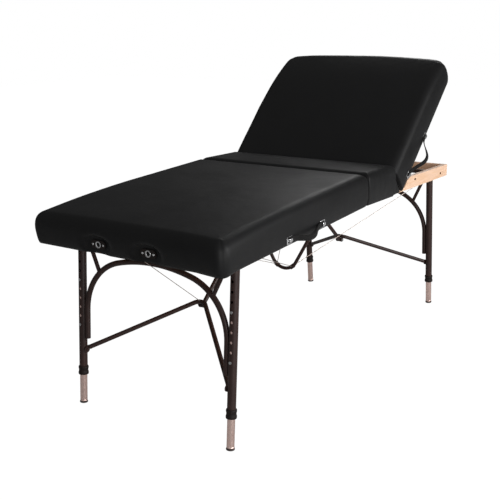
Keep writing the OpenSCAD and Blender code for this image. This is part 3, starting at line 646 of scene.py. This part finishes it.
@dataclass
class Pocket:
    """A hollow under a padded top: its ends, half its width, its floor and its roof, in mm."""

    s0: float
    s1: float
    half_w: float
    h0: float
    h1: float
    corner: float = 0.0
    y_mid: float = 0.0

    def build(self, name: str, part: Part) -> Object:
        """Build the closed form that is cut away.

        Args:
            name: the form's name.
            part: the part whose coordinates it uses.

        Returns:
            The form as an object.
        """
        r, ends = self.corner, [(self.s1, self.half_w)]
        if r > 0:
            quarter = turns(36)[:10]
            ends = [(self.s1 - r + r * math.cos(a), self.half_w - r + r * math.sin(a))
                    for a in quarter]
        plan = (ends + [(self.s0, self.half_w), (self.s0, -self.half_w)]
                + [(s, -y) for s, y in reversed(ends)])
        rings = [[TABLE.place(part, s, self.y_mid + y, h) for s, y in plan]
                 for h in (self.h0, self.h1)]
        return sweep(name, rings, VINYL)


@dataclass
class PaddedTop:
    """An upholstered top: crowned foam under vinyl, wrapped round a wooden frame.

    Sizes in mm, in the flat coordinates of its part.
    """

    name: str
    part: Part
    node: str
    s0: float
    s1: float
    height: float
    crown: float
    roll: float
    r0: float
    r1: float
    pockets: list[Pocket]
    outer_end: bool = True
    end_drop: float = 8.0
    end_run: float = 200.0
    corner_drop: float = 6.0
    belly: float = 7.0
    fan: float = 0.0
    skew: float = 0.0
    bow: float = 0.0
    sag: float = 0.0
    sockets: tuple[float, ...] = ()
    half_w: float = TOP_HALF_W
    draw_in: float = 1.5
    pleat_depth: float = 1.6
    pleat_angle: float = 45.0
    pleat_spread: float = 8.0
    seed: float = 0.0
    side_rows: int = 12
    roll_rows: int = 10
    top_rows: int = 24

    def softness(self, s: float, y: float, h: float, u: float, v: float) -> float:
        """Give how far the cover stands out or in at a point, in mm.

        Args:
            s: place along the half.
            y: place across the table.
            h: height.
            u: place along the top, from -1 to 1.
            v: place across the top, from -1 to 1.

        Returns:
            The distance, positive outwards.
        """
        swell, dimple, pucker = 150, 38, 17  # lengths of the waves, in mm
        broad = noise.noise(Vector((s / swell + self.seed, y / swell, h / 60)))
        fine = noise.noise(Vector((s / dimple, y / dimple + self.seed, h / 30)))
        seam_pull = math.exp(-((max(abs(u), abs(v)) - 0.93) / 0.06) ** 2)
        ripple = noise.noise(Vector((s / pucker, y / pucker, self.seed))) * seam_pull
        return broad + 0.3 * fine + 0.8 * ripple

    def drop(self, s: float, y: float) -> float:
        """Give how far the top has come down at a place near the outer end, in mm."""
        if not self.outer_end:
            return 0.0
        near = max(0.0, 1 - (self.s1 - s) / self.end_run)
        side = min(1.0, abs(y) / self.half_w)
        return near ** 2 * (self.end_drop + self.corner_drop * side ** 4)

    def freedom(self, way: Vector) -> float:
        """Give the share of the belly that a side facing one way has: none at a seam."""
        seam = -way.x if self.outer_end else abs(way.x)
        return 1 - min(1.0, max(0.0, (seam - 0.25) / 0.5))

    def near_socket(self, y: float, h: float) -> float:
        """Give how near a point of the outer end is to a socket, from 0 to 1."""
        plate_y, plate_h, none = 44, 30, 9.0
        far = min((math.hypot((y - at) / plate_y, (h - SOCKET_H) / plate_h)
                   for at in self.sockets), default=none)
        k = min(1.0, max(0.0, (1.6 - far) / 0.7))
        return k * k * (3 - 2 * k)

    def stretched(self, s: float, y: float) -> tuple[float, float]:
        """Give a plan point after the cover's pull: fanned out, bowed and skewed."""
        along = min(1.0, max(0.0, (s - self.s0) / (self.s1 - self.s0)))
        side = y / self.half_w
        out = along ** 3
        return (s - out * (self.bow * side ** 4 + self.skew * max(0.0, -side) ** 1.5),
                y + self.fan * max(0.0, side) ** 2 * min(1.0, along * 2.2))

    def pleat(self, way: Vector) -> float:
        """Give the depth of the pleat at an outer corner, for a side facing one way."""
        if not self.outer_end or way.x <= 0.2:
            return 0.0
        turn = math.degrees(math.atan2(abs(way.y), way.x))
        return self.pleat_depth * math.exp(-((turn - self.pleat_angle) / self.pleat_spread) ** 2)

    def plan(self, inset: float) -> list[tuple[float, float]]:
        """Give the stretched outline, drawn in by an inset."""
        edge = outline(self.s0, self.s1, self.half_w, self.r0, self.r1, inset)
        return [self.stretched(*at) for at in edge]

    def ring(self, h: float, inset: float) -> list[Vector]:
        """Give one ring of points at a height, bellied out and softened.

        Args:
            h: the ring's height.
            inset: how far it lies inside the widest plan.

        Returns:
            The ring's points in the room.
        """
        plan = self.plan(inset)
        n = len(plan)
        mid, half_s = (self.s0 + self.s1) / 2, (self.s1 - self.s0) / 2
        hem, corner_size, plate_s = 25, 45, HALF_L - 0.8
        rise = h / self.height
        belly = self.belly * math.sin(math.pi * min(1.0, rise ** 0.9)) ** 0.8
        top = min(1.0, max(0.0, rise - 0.35) / 0.4)
        out = []
        for i, (s, y) in enumerate(plan):
            p, q = plan[(i + 1) % n], plan[i - 1]
            way = Vector((p[1] - q[1], q[0] - p[0])).normalized()
            off = belly * self.freedom(way)
            off += self.softness(s, y, h, (s - mid) / half_s, y / self.half_w) * min(1, h / hem)
            off -= self.pleat(way) * min(1.0, rise * 3)
            away = math.hypot(self.s1 - s, self.half_w - abs(y)) / corner_size
            low = self.sag * math.exp(-away ** 2) * max(0.0, 1 - rise * 2.5) if y < 0 else 0.0
            near = self.near_socket(y, h) if way.x > 0.9 else 0.0
            s_out = (s + way.x * off) * (1 - near) + plate_s * near
            out.append(TABLE.place(self.part, s_out, y + way.y * off,
                                   h - self.drop(s, y) * top - low))
        return out

    def surface(self) -> Object:
        """Build the closed outer form before its pockets are cut."""
        flat = self.height - self.roll
        mid = (self.s0 + self.s1) / 2
        half_s, half_y = (self.s1 - self.s0) / 2 - self.roll, self.half_w - self.roll
        rings = []
        for i in range(self.side_rows + 1):
            k = i / self.side_rows
            rings.append(self.ring(flat * k, self.draw_in * max(0.0, 1 - k / 0.45) ** 2))
        for i in range(1, self.roll_rows + 1):
            a = math.pi / 2 * i / self.roll_rows
            rings.append(self.ring(flat + self.roll * math.sin(a), self.roll * (1 - math.cos(a))))
        base = self.plan(self.roll)
        for j in range(1, self.top_rows):
            share = 1 - j / self.top_rows
            ring = []
            for s, y in base:
                s2, y2 = mid + (s - mid) * share, y * share
                u, v = (s2 - mid) / half_s, y2 / half_y
                h = self.height + self.crown * (1 - u * u) * (1 - v * v) - self.drop(s2, y2)
                ring.append(TABLE.place(self.part, s2, y2, h + self.softness(s2, y2, h, u, v)))
            rings.append(ring)
        return sweep(self.name + "_block", rings, VINYL)

    def build(self) -> Object:
        """Build the top, cut its pockets and let it stand for its solid."""
        block = self.surface()
        cutters = []
        for k, pocket in enumerate(self.pockets):
            cutter = pocket.build(f"{self.name}_cutter_{k}", self.part)
            mod = block.modifiers.new(f"pocket_{k}", "BOOLEAN")
            mod.operation, mod.solver, mod.object = "DIFFERENCE", "EXACT", cutter
            cutters.append(cutter)
        piece = baked(block, self.name)
        for cutter in cutters:
            bpy.data.objects.remove(cutter)
        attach(piece, self.part.value)
        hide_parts(self.node)
        LOG.info("%s: %d faces", self.name, len(piece.data.polygons))
        return piece


@dataclass
class Cheeks:
    """Soft cheeks of vinyl that close the notch under the raised backrest. Sizes in mm."""

    mid_s: float = 241.6
    mid_h: float = 72.0
    y0: float = 368.0
    depth: float = 9.3
    pivot_r: float = 32.0
    gap: float = 0.6
    fold: float = 1.1
    cols: int = 14
    rows: int = 12

    def edge(self, t: float) -> tuple[float, float]:
        """Give the place and height on the backrest's edge, a share t up from its foot."""
        c, q = math.cos(TABLE.recline), math.sin(TABLE.recline)
        s, h = TABLE.tilt_s - self.pivot_r * c, TABLE.tilt_h - self.pivot_r * q
        low_s, low_h = s + TABLE.tilt_h * q - self.gap, h - TABLE.tilt_h * c - self.gap
        return (low_s + (s - self.gap - low_s) * t,
                max(low_h, 0) * (1 - t) + (h - self.gap) * t)

    def sheet(self, side: int, outer: int) -> list[Vector]:
        """Give one face of a cheek, row by row, with folds that fan out from the pivot.

        Args:
            side: 1 or -1, the side of the table.
            outer: 1 for the face that shows and 0 for its back.

        Returns:
            The face's points in the room.
        """
        points = []
        for j in range(self.rows + 1):
            t = j / self.rows
            s1, h1 = self.edge(t)
            for i in range(self.cols + 1):
                w = i / self.cols
                full = math.sin(math.pi * w) ** 0.5 * math.sin(math.pi * min(t * 1.02, 1)) ** 0.5
                y = self.y0 + outer * self.depth * (0.45 + 0.55 * full)
                y += outer * self.fold * full * math.sin(w * 9.4 + 0.7 * math.sin(3 * t))
                points.append(TABLE.place(Part.HEAD, self.mid_s + (s1 - self.mid_s) * w, side * y,
                                          self.mid_h * t * (1 - w) + h1 * w))
        return points

    def build(self) -> Object:
        """Build both cheeks, each from two faces and the rim between them."""
        verts: list[Vector] = []
        faces: list[tuple[int, ...]] = []
        row, rows, cols = self.cols + 1, self.rows, self.cols
        rim = ([i for i in range(cols)] + [j * row + cols for j in range(rows)]
               + [rows * row + i for i in range(cols, 0, -1)] + [j * row for j in range(rows, 0, -1)])
        for side in (-1, 1):
            base = len(verts)
            verts += self.sheet(side, 0) + self.sheet(side, 1)
            back = base + (rows + 1) * row
            faces += [(k, k + 1, k + 1 + row, k + row) for block in (base, back)
                      for k in (block + j * row + i for j in range(rows) for i in range(cols))]
            faces += [(base + a, base + b, back + b, back + a)
                      for a, b in zip(rim, rim[1:] + rim[:1])]
        piece = mesh_object("seam_cheeks", verts, faces, VINYL)
        point_out(piece)
        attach(piece, "head_half")
        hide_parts("seam_gussets")
        LOG.info("seam_cheeks built")
        return piece


@dataclass
class CarryHandle:
    """A padded webbing handle that bows out from the side between two clips. Sizes in mm."""

    part: Part
    node: str
    mid: float
    span: float = 214.0
    clip: float = 16.0
    start_y: float = 387.6
    reach: float = 16.0
    sag: float = 14.0
    h: float = 20.0
    half_w: float = 9.6
    grip: float = 5.0
    strap: float = 2.0
    raised: float = 1.35
    hem: float = 6.8
    pitches: int = 37
    steps: int = 48
    sides: int = 20

    def bow(self, s: float) -> float:
        """Give the share of the bow at a distance along the strap."""
        u = min(max((s - self.clip) / (self.span - 2 * self.clip), 0), 1)
        return (1 - math.cos(2 * math.pi * u)) / 2

    def middle(self, s: float, b: float) -> tuple[float, float, float, float]:
        """Give the strap's middle and its padding at a distance along it.

        Args:
            s: distance along the strap, from its first end.
            b: share of the bow there.

        Returns:
            Its place along the half, its distance out, its height and its padding.
        """
        return (self.mid - self.span / 2 + s, self.start_y + self.reach * b + self.strap,
                self.h - self.sag * b, self.grip * min(1.0, max(0.0, b * 2 - 0.6)))

    def webbing(self) -> None:
        """Build the padded strap."""
        rings = []
        for k in range(self.steps + 1):
            along = self.span * k / self.steps
            s, y, h, pad = self.middle(along, self.bow(along))
            ring = []
            for t in turns(self.sides):
                c, q = math.cos(t), math.sin(t)
                out = (1.8 + pad) * math.copysign(abs(c) ** 0.7, c)
                ring.append(TABLE.place(self.part, s, out - y,
                                        h + self.half_w * math.copysign(abs(q) ** 0.6, q)))
            rings.append(ring)
        piece = sweep(self.node + "_webbing", rings, WEBBING)
        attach(piece, self.part.value)
        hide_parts(self.node)

    def build(self, scatter: Scatter, stitch: Object) -> None:
        """Build the handle and its two rows of stitches."""
        self.webbing()
        out, spots = TABLE.direction(self.part, 0, -1, 0), []
        for k in range(2, self.pitches - 2):
            along = self.span * k / self.pitches
            if not self.clip + 2 <= along <= self.span - self.clip - 2:
                continue
            b, b2 = self.bow(along), self.bow(along + 1)
            s, y, h, pad = self.middle(along, b)
            y = -(y + self.raised + pad * 0.72)
            for edge in (-self.hem, self.hem):
                p = TABLE.place(self.part, s, y, h + edge)
                p2 = TABLE.place(self.part, s + 1, y - self.reach * (b2 - b),
                                 self.h - self.sag * b2 + edge)
                spots.append((p, out, (p2 - p).normalized()))
        scatter.build(self.node + "_stitches", spots, stitch, THREAD, self.part.value)
        LOG.info("%s: handle with %d stitches", self.node, len(spots))


@dataclass
class Hardware:
    """Screws and bolts, and the bright sleeves of the cradle sockets. Sizes in mm."""

    scatter: Scatter
    pan: Object
    bolt: Object
    hinge_y: float = 285.0
    bracket_s: float = 130.2
    bracket_y: float = 19.5
    bracket_h: float = 47.0
    brace_s: float = 474.0
    brace_h: float = 33.0
    plate_s: float = 904.8
    plate_screw: float = 21.5

    def screws(self) -> None:
        """Set the screws of hinges, brackets and socket plates, and the rails' bolts."""
        across, both = Vector((0, 1, 0)), (-1, 1)
        for part, label in ((Part.FOOT, "foot"), (Part.HEAD, "head")):
            down = TABLE.direction(part, 0, 0, -1)
            spots = [(TABLE.place(part, 16, side * self.hinge_y + dy, -2.0), down, across)
                     for side in both for dy in (-30, -10, 10, 30)]
            spots += [(TABLE.place(part, self.bracket_s + ds, side * self.bracket_y,
                                   self.bracket_h), down, across)
                      for side in both for ds in (-8, 8)]
            self.scatter.build(f"{label}_frame_screws", spots, self.pan, ZINC, part.value, 0.8)
        out = TABLE.direction(Part.HEAD, 1, 0, 0)
        bolts = [(TABLE.place(Part.HEAD, s, side * RAIL_OUT_Y, h), Vector((0, side, 0)), out)
                 for side in both for s, h in ((self.brace_s, self.brace_h), (LEG_S, LEG_H))]
        # The rails' bolts are coloured dark brown as painted shade of their recessed holes.
        self.scatter.build("head_rail_bolts", bolts, self.bolt, RAIL_BOLT_HOLE_SHADE, "head_half", 0.9)
        out = TABLE.direction(Part.FOOT, 1, 0, 0)
        spots = [(TABLE.place(Part.FOOT, self.plate_s, side * SOCKET_Y + dy, SOCKET_H), out, across)
                 for side in both for dy in (-self.plate_screw, self.plate_screw)]
        self.scatter.build("socket_screws", spots, self.pan, BRIGHT_STEEL, "foot_half", 1.15)

    def sleeves(self) -> None:
        """Build the bright flared sleeves in the two sockets."""
        verts: list[Vector] = []
        faces: list[tuple[int, ...]] = []
        profile = [(6.5, 878), (6.5, 904.0), (7.2, 905.4), (8.6, 906.2), (10.6, 906.3),
                   (11.2, 905.6), (11.2, 904.9), (9.0, 904.85)]
        sides, wall = 32, 0.3 * MM
        for side in (-1, 1):
            base = len(verts)
            verts += [TABLE.place(Part.FOOT, s, side * SOCKET_Y + r * math.cos(t),
                                  SOCKET_H + r * math.sin(t))
                      for r, s in profile for t in turns(sides)]
            for k in range(base, base + (len(profile) - 1) * sides, sides):
                faces += [(k + j, k + (j + 1) % sides, k + (j + 1) % sides + sides, k + j + sides)
                          for j in range(sides)]
        piece = mesh_object("socket_sleeves", verts, faces, BRIGHT_STEEL)
        piece.modifiers.new("wall", "SOLIDIFY").thickness = wall
        piece = baked(piece, "socket_sleeves")
        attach(piece, "foot_half")
        LOG.info("socket_sleeves: two sleeves")


@dataclass
class LegFittings:
    """The waisted collar and the low rubber plug of a telescoping leg. Sizes in mm."""

    part: Part
    leg_y: float = 318.0
    leg_l: float = 630.0
    outer_l: float = 524.0
    splay: float = math.radians(6.6)
    tube_r: float = 12.7
    rim_r: float = 14.2
    rim_h: float = 6.0
    collar_l: float = 31.0
    gap: float = 0.3
    sides: int = 40

    def place(self, side: int, x: float, y: float, q: float) -> Vector:
        """Give the room position of a point of the leg, q along it from its pivot."""
        c, n = math.cos(self.splay), math.sin(self.splay)
        return TABLE.place(self.part, LEG_S + q * n + x * c, side * self.leg_y + y,
                           LEG_H - q * c + x * n)

    def turned(self, name: str, side: int, profile: Sequence[tuple[float, float]],
               finish: Finish) -> Object:
        """Turn a profile of radius and distance along the leg into a closed piece."""
        rings = [[self.place(side, r * math.cos(t), r * math.sin(t), q)
                  for t in turns(self.sides)] for r, q in profile]
        return sweep(name, rings, finish)

    def leg_name(self, side: int) -> str:
        """Give the leg's name, such as foot_left."""
        return f"{self.part.value.split('_')[0]}_{'left' if side > 0 else 'right'}"

    def plug(self, side: int) -> None:
        """Build one plug and the length of bright tube above it."""
        leg, end, rim = self.leg_name(side), self.leg_l, self.rim_r
        seat = end - self.rim_h
        tip = self.turned(leg + "_plug", side,
                          [(rim - 2.2, end), (rim - 0.8, end - 0.5), (rim, end - 1.8),
                           (rim, seat + 1.4), (rim - 0.5, seat + 0.4), (self.tube_r - 0.4, seat)],
                          RUBBER_TIP)
        tube = self.turned(leg + "_tube_end", side,
                           [(self.tube_r, seat - self.gap), (self.tube_r, seat - 6.3)], ALUMINIUM)
        for piece, slot in ((tip, "rubber"), (tube, "aluminium")):
            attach(piece, leg + "_leg")
        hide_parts(leg + "_tip")

    def collar(self, side: int) -> None:
        """Build one collar: a flange, a waist and a wider skirt."""
        half, top = self.part.value.split("_")[0], self.outer_l - self.collar_l
        profile = [(15.3, 0.0), (16.9, 1.2), (17.6, 3.5), (17.6, 8.0), (16.9, 10.5), (16.3, 13.5),
                   (16.3, 17.0), (17.0, 20.0), (17.9, 22.5), (18.0, 27.5), (17.4, 30.2),
                   (15.6, 31.0), (13.2, 31.0)]
        piece = self.turned(self.leg_name(side) + "_collar", side,
                            [(r, top + q) for r, q in profile], BLACK_PLASTIC)
        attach(piece, half + "_legs")
        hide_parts(half + "_collars")

    def build(self) -> None:
        """Fit out both legs of one half."""
        for side in (1, -1):
            self.plug(side)
            self.collar(side)
        LOG.info("%s: collars and plugs", self.part.value)


@dataclass
class HandleClips:
    """Two bright clips that hold a carry handle: a plate, a bridge and two screws each.

    Plate and bridge are half their length, half their height and their thickness, in mm.
    """

    part: Part
    node: str
    ends: tuple[float, float]
    h: float = 20.0
    side_y: float = 386.6
    plate: tuple[float, float, float] = (15.0, 13.0, 1.6)
    bridge: tuple[float, float, float] = (9.0, 5.5, 7.2)
    lap: float = 0.2
    screw_s: float = 11.4

    def block(self, s: tuple[float, float], y: tuple[float, float],
              h: tuple[float, float], edge: float = 1.2) -> tuple[list[Vector], list[list[int]]]:
        """Give the points and faces of a bar along the table with eased edges."""
        (s0, s1), (y0, y1), (h0, h1) = s, y, h
        plan = [(s0, h0 + edge), (s0 + edge, h0), (s1 - edge, h0), (s1, h0 + edge),
                (s1, h1 - edge), (s1 - edge, h1), (s0 + edge, h1), (s0, h1 - edge)]
        verts = [TABLE.place(self.part, a, -y0, b) for a, b in plan]
        verts += [TABLE.place(self.part, a, -(y1 - 0.5), b) for a, b in plan]
        mid_s, mid_h = (s0 + s1) / 2, (h0 + h1) / 2
        verts += [TABLE.place(self.part, a - math.copysign(0.6, a - mid_s), -y1,
                              b - math.copysign(0.6, b - mid_h)) for a, b in plan]
        n = len(plan)
        faces = [list(range(n)), list(range(3 * n - 1, 2 * n - 1, -1))]
        faces += [[k * n + i, (k + 1) * n + i, (k + 1) * n + (i + 1) % n, k * n + (i + 1) % n]
                  for k in range(2) for i in range(n)]
        return verts, faces

    def build(self, scatter: Scatter, pan: Object) -> None:
        """Build both clips and their screws."""
        verts: list[Vector] = []
        faces: list[list[int]] = []
        under = self.side_y + self.plate[2] - self.lap
        for at in self.ends:
            for (half_s, half_h, thick), y in ((self.plate, self.side_y), (self.bridge, under)):
                more, tiles = self.block((at - half_s, at + half_s), (y, y + thick),
                                         (self.h - half_h, self.h + half_h))
                faces += [[i + len(verts) for i in tile] for tile in tiles]
                verts += more
        piece = mesh_object(self.node, verts, faces, BRIGHT_STEEL, smooth=False)
        point_out(piece)
        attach(piece, self.part.value)
        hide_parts(self.node.replace("_plates", "_clips"))
        out = TABLE.direction(self.part, 0, -1, 0)
        along = TABLE.direction(self.part, 1, 0, 0)
        spots = [(TABLE.place(self.part, at + d, -(self.side_y + 1.5), self.h), out, along)
                 for at in self.ends for d in (-self.screw_s, self.screw_s)]
        scatter.build(self.node + "_screws", spots, pan, ZINC, self.part.value, 0.7)
        LOG.info("%s built", self.node)


class Dressing:
    """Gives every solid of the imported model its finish."""

    CHOICES: tuple[tuple[str, Finish], ...] = (
        # The deck and board take plywood whose tone is darkened as painted shade.
        ("foot_rail", MAPLE_LONG), ("head_rail", MAPLE_LONG), ("end_rail", MAPLE_CROSS),
        ("centre_rail", MAPLE_CROSS), ("batten", MAPLE_CROSS), ("deck", PLYWOOD_PAINTED_SHADE),
        ("board", PLYWOOD_PAINTED_SHADE), ("inner_leg", ALUMINIUM), ("tip", RUBBER_TIP),
        ("collars", BLACK_PLASTIC), ("socket", BLACK_PLASTIC), ("leg_frame", COATED_TUBE),
        ("wishbone", COATED_TUBE), ("strut_bracket", ZINC), ("strut", COATED_TUBE),
        ("stirrup_brackets", ZINC), ("stirrup", COATED_TUBE), ("ears", COATED_TUBE),
        ("cable", CABLE_STEEL), ("handle_clips", BRIGHT_STEEL), ("handle", WEBBING),
        ("pad", VINYL), ("gussets", VINYL),
    )

    def build(self, nodes: dict[str, Object]) -> None:
        """Assign a finish to each node by its name."""
        for name, obj in nodes.items():
            finish = next((f for key, f in self.CHOICES if key in name), ZINC)
            obj.data.materials.clear()
            obj.data.materials.append(material(finish))
            obj.data.polygons.foreach_set("material_index", [0] * len(obj.data.polygons))
            LOG.info("%s: %s", name, finish.name)


@dataclass
class Studio:
    """Pale floor, soft lights and a camera at the photograph's angle."""

    target: Vector = field(default_factory=lambda: Vector((146.1, 218.7, 350.0)) * MM)
    distance: float = 3.53101
    azimuth: float = -55.9711
    pitch: float = 15.8161
    roll: float = -1.01752
    focal_px: float = 827.02
    picture_px: float = 500.0
    floor_size: float = 12.0
    lamps: tuple[tuple[str, tuple[float, float, float], float, float], ...] = (
        ("side", (0.5, -3.6, 1.7), 1.4, 88.0), ("back", (4.2, 1.2, 2.9), 1.4, 37.0),
        ("front", (-2.2, -3.2, 0.7), 1.2, 34.0))
    lamp_aim: tuple[float, float, float] = (0.1, 0.1, 0.6)
    sky_way: tuple[float, float, float] = (-0.62, -0.55, 0.56)

    def camera(self) -> None:
        """Create the camera and make it the scene's."""
        data = bpy.data.cameras.new("camera")
        data.sensor_width = 36.0
        data.lens = self.focal_px / self.picture_px * data.sensor_width
        data.clip_end = 60
        cam = shown(bpy.data.objects.new("camera", data))
        a, e, r = (math.radians(v) for v in (self.azimuth, self.pitch, self.roll))
        back = Vector((math.sin(a) * math.cos(e), -math.cos(a) * math.cos(e), math.sin(e)))
        right = Vector((0, 0, 1)).cross(back).normalized()
        up = back.cross(right)
        right, up = (right * math.cos(r) + up * math.sin(r),
                     up * math.cos(r) - right * math.sin(r))
        turn = Matrix((right, up, back)).transposed().to_4x4()
        cam.matrix_world = Matrix.Translation(self.target + back * self.distance) @ turn
        bpy.context.scene.camera = cam

    def floor(self) -> None:
        """Build the floor, white to the camera apart from the object's shadow."""
        corners = [Vector((x, y, 0)) * self.floor_size
                   for x, y in ((-1, -1), (1, -1), (1, 1), (-1, 1))]
        floor = mesh_object("floor", corners, [(0, 1, 2, 3)], smooth=False)
        mat = bpy.data.materials.new("paper_floor")
        tree = empty_tree(mat)
        diffuse = add_node(tree, "ShaderNodeBsdfDiffuse", {}, {"Color": linear("#cfcfcf")})
        glow = add_node(tree, "ShaderNodeEmission", {},
                        {"Color": linear("#ffffff"), "Strength": 1.15})
        rays = add_node(tree, "ShaderNodeLightPath")
        share = add_node(tree, "ShaderNodeMath", {"operation": "MULTIPLY"},
                         {0: rays.outputs["Is Camera Ray"], 1: 0.86})
        mix = add_node(tree, "ShaderNodeMixShader", {},
                       {0: share.outputs[0], 1: diffuse.outputs[0], 2: glow.outputs[0]})
        add_node(tree, "ShaderNodeOutputMaterial", {}, {"Surface": mix.outputs[0]})
        floor.data.materials.append(mat)

    def lights(self) -> None:
        """Hang three soft lamps and set the pale surround."""
        for name, at, size, power in self.lamps:
            data = bpy.data.lights.new(name, "AREA")
            data.size, data.energy = size, power
            lamp = shown(bpy.data.objects.new(name, data))
            lamp.location = at
            aim = Vector(self.lamp_aim) - Vector(at)
            lamp.rotation_euler = aim.to_track_quat("-Z", "Y").to_euler()
        world = bpy.data.worlds.new("studio")
        tree = empty_tree(world)
        rays = add_node(tree, "ShaderNodeLightPath")
        place = add_node(tree, "ShaderNodeTexCoord")
        facing = add_node(tree, "ShaderNodeVectorMath", {"operation": "DOT_PRODUCT"},
                          {0: place.outputs["Generated"], 1: self.sky_way})
        fade = add_node(tree, "ShaderNodeMapRange", {},
                        {"Value": facing.outputs["Value"], "From Min": -0.5, "From Max": 0.9,
                         "To Min": 0.04, "To Max": 0.4})
        soft, white = (add_node(tree, "ShaderNodeBackground", {},
                                {"Color": linear("#ffffff"), "Strength": strength})
                       for strength in (fade.outputs[0], 1.0))
        mix = add_node(tree, "ShaderNodeMixShader", {},
                       {0: rays.outputs["Is Camera Ray"], 1: soft.outputs[0],
                        2: white.outputs[0]})
        add_node(tree, "ShaderNodeOutputWorld", {}, {"Surface": mix.outputs[0]})
        bpy.context.scene.world = world

    def build(self) -> None:
        """Set up the whole studio."""
        self.camera()
        self.floor()
        self.lights()
        bpy.context.scene.view_settings.view_transform = "Standard"
        LOG.info("studio: camera, floor and lamps")


def tuck_cable(cable: Object, joint: str) -> None:
    """Give a cable a mesh of its own."""
    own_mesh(cable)


def padded_tops() -> list[PaddedTop]:
    """List the three tops with the hollows that take the wooden frame and the sockets."""
    seam, frame_w, under, arm_w, arm_y = 0.6, 367.3, 230, 5.8, 342.8
    foot = PaddedTop(
        "foot_top", Part.FOOT, "foot_pad", s0=seam, s1=911.0, height=121.4, crown=6.0, roll=32.0,
        r0=10.0, r1=30.0, pockets=[Pocket(6, 889.2, frame_w, -12, 56.3, corner=19.0)],
        end_drop=13.0, end_run=480.0, corner_drop=8.0, belly=8.5, fan=2.0, sag=7.0,
        sockets=(-SOCKET_Y, SOCKET_Y), seed=3.0)
    middle = PaddedTop(
        "middle_top", Part.HEAD, "mid_pad", s0=seam, s1=241.0, height=121.4, crown=7.0, roll=26.0,
        r0=10.0, r1=10.0, pockets=[Pocket(6, 260, frame_w, -12, 50.2),
                                   Pocket(6, 235.6, frame_w, 45, 56.3)],
        outer_end=False, seed=11.0)
    backrest = PaddedTop(
        "backrest_top", Part.BACKREST, "backrest_pad", s0=242.2, s1=898.0, height=129.4,
        crown=12.0, roll=30.0, r0=10.0, r1=48.0,
        pockets=[Pocket(under, 845.2, 371.6, -3, 62.3), Pocket(under, 305.7, 367.6, 10, 65),
                 Pocket(under, 358.3, arm_w, -3, 111.6, y_mid=arm_y),
                 Pocket(under, 358.3, arm_w, -3, 111.6, y_mid=-arm_y)],
        end_drop=22.0, end_run=260.0, corner_drop=12.0, fan=14.0, skew=19.0, bow=3.0, seed=23.0)
    return [foot, middle, backrest]


def main() -> None:
    """Build the studio, the finishes and the pieces, in order."""
    Studio().build()
    Dressing().build(frame["nodes"])
    for name, joint in (("foot_cables", "stirrup_fold"), ("head_cables", "stirrup_fold"),
                        ("knee_cable", "foot_leg_fold")):
        tuck_cable(frame["nodes"][name], joint)
    scatter = Scatter()
    pan, bolt, stitch = (shape.build() for shape in (PAN_HEAD, HEX_HEAD, STITCH))
    for top in padded_tops():
        top.build()
    Cheeks().build()
    for handle in (CarryHandle(Part.FOOT, "foot_handle", 455.0, span=228.0, reach=18.0),
                   CarryHandle(Part.BACKREST, "head_handle", 414.0, span=218.0, reach=37.5,
                               grip=2.5)):
        handle.build(scatter, stitch)
    for clips in (HandleClips(Part.FOOT, "foot_handle_plates", ends=(348.0, 562.0)),
                  HandleClips(Part.BACKREST, "head_handle_plates", ends=(312.0, 516.0))):
        clips.build(scatter, pan)
    for part in (Part.FOOT, Part.HEAD):
        LegFittings(part).build()
    hardware = Hardware(scatter, pan, bolt)
    hardware.screws()
    hardware.sleeves()


if __name__ == "__main__":
    main()
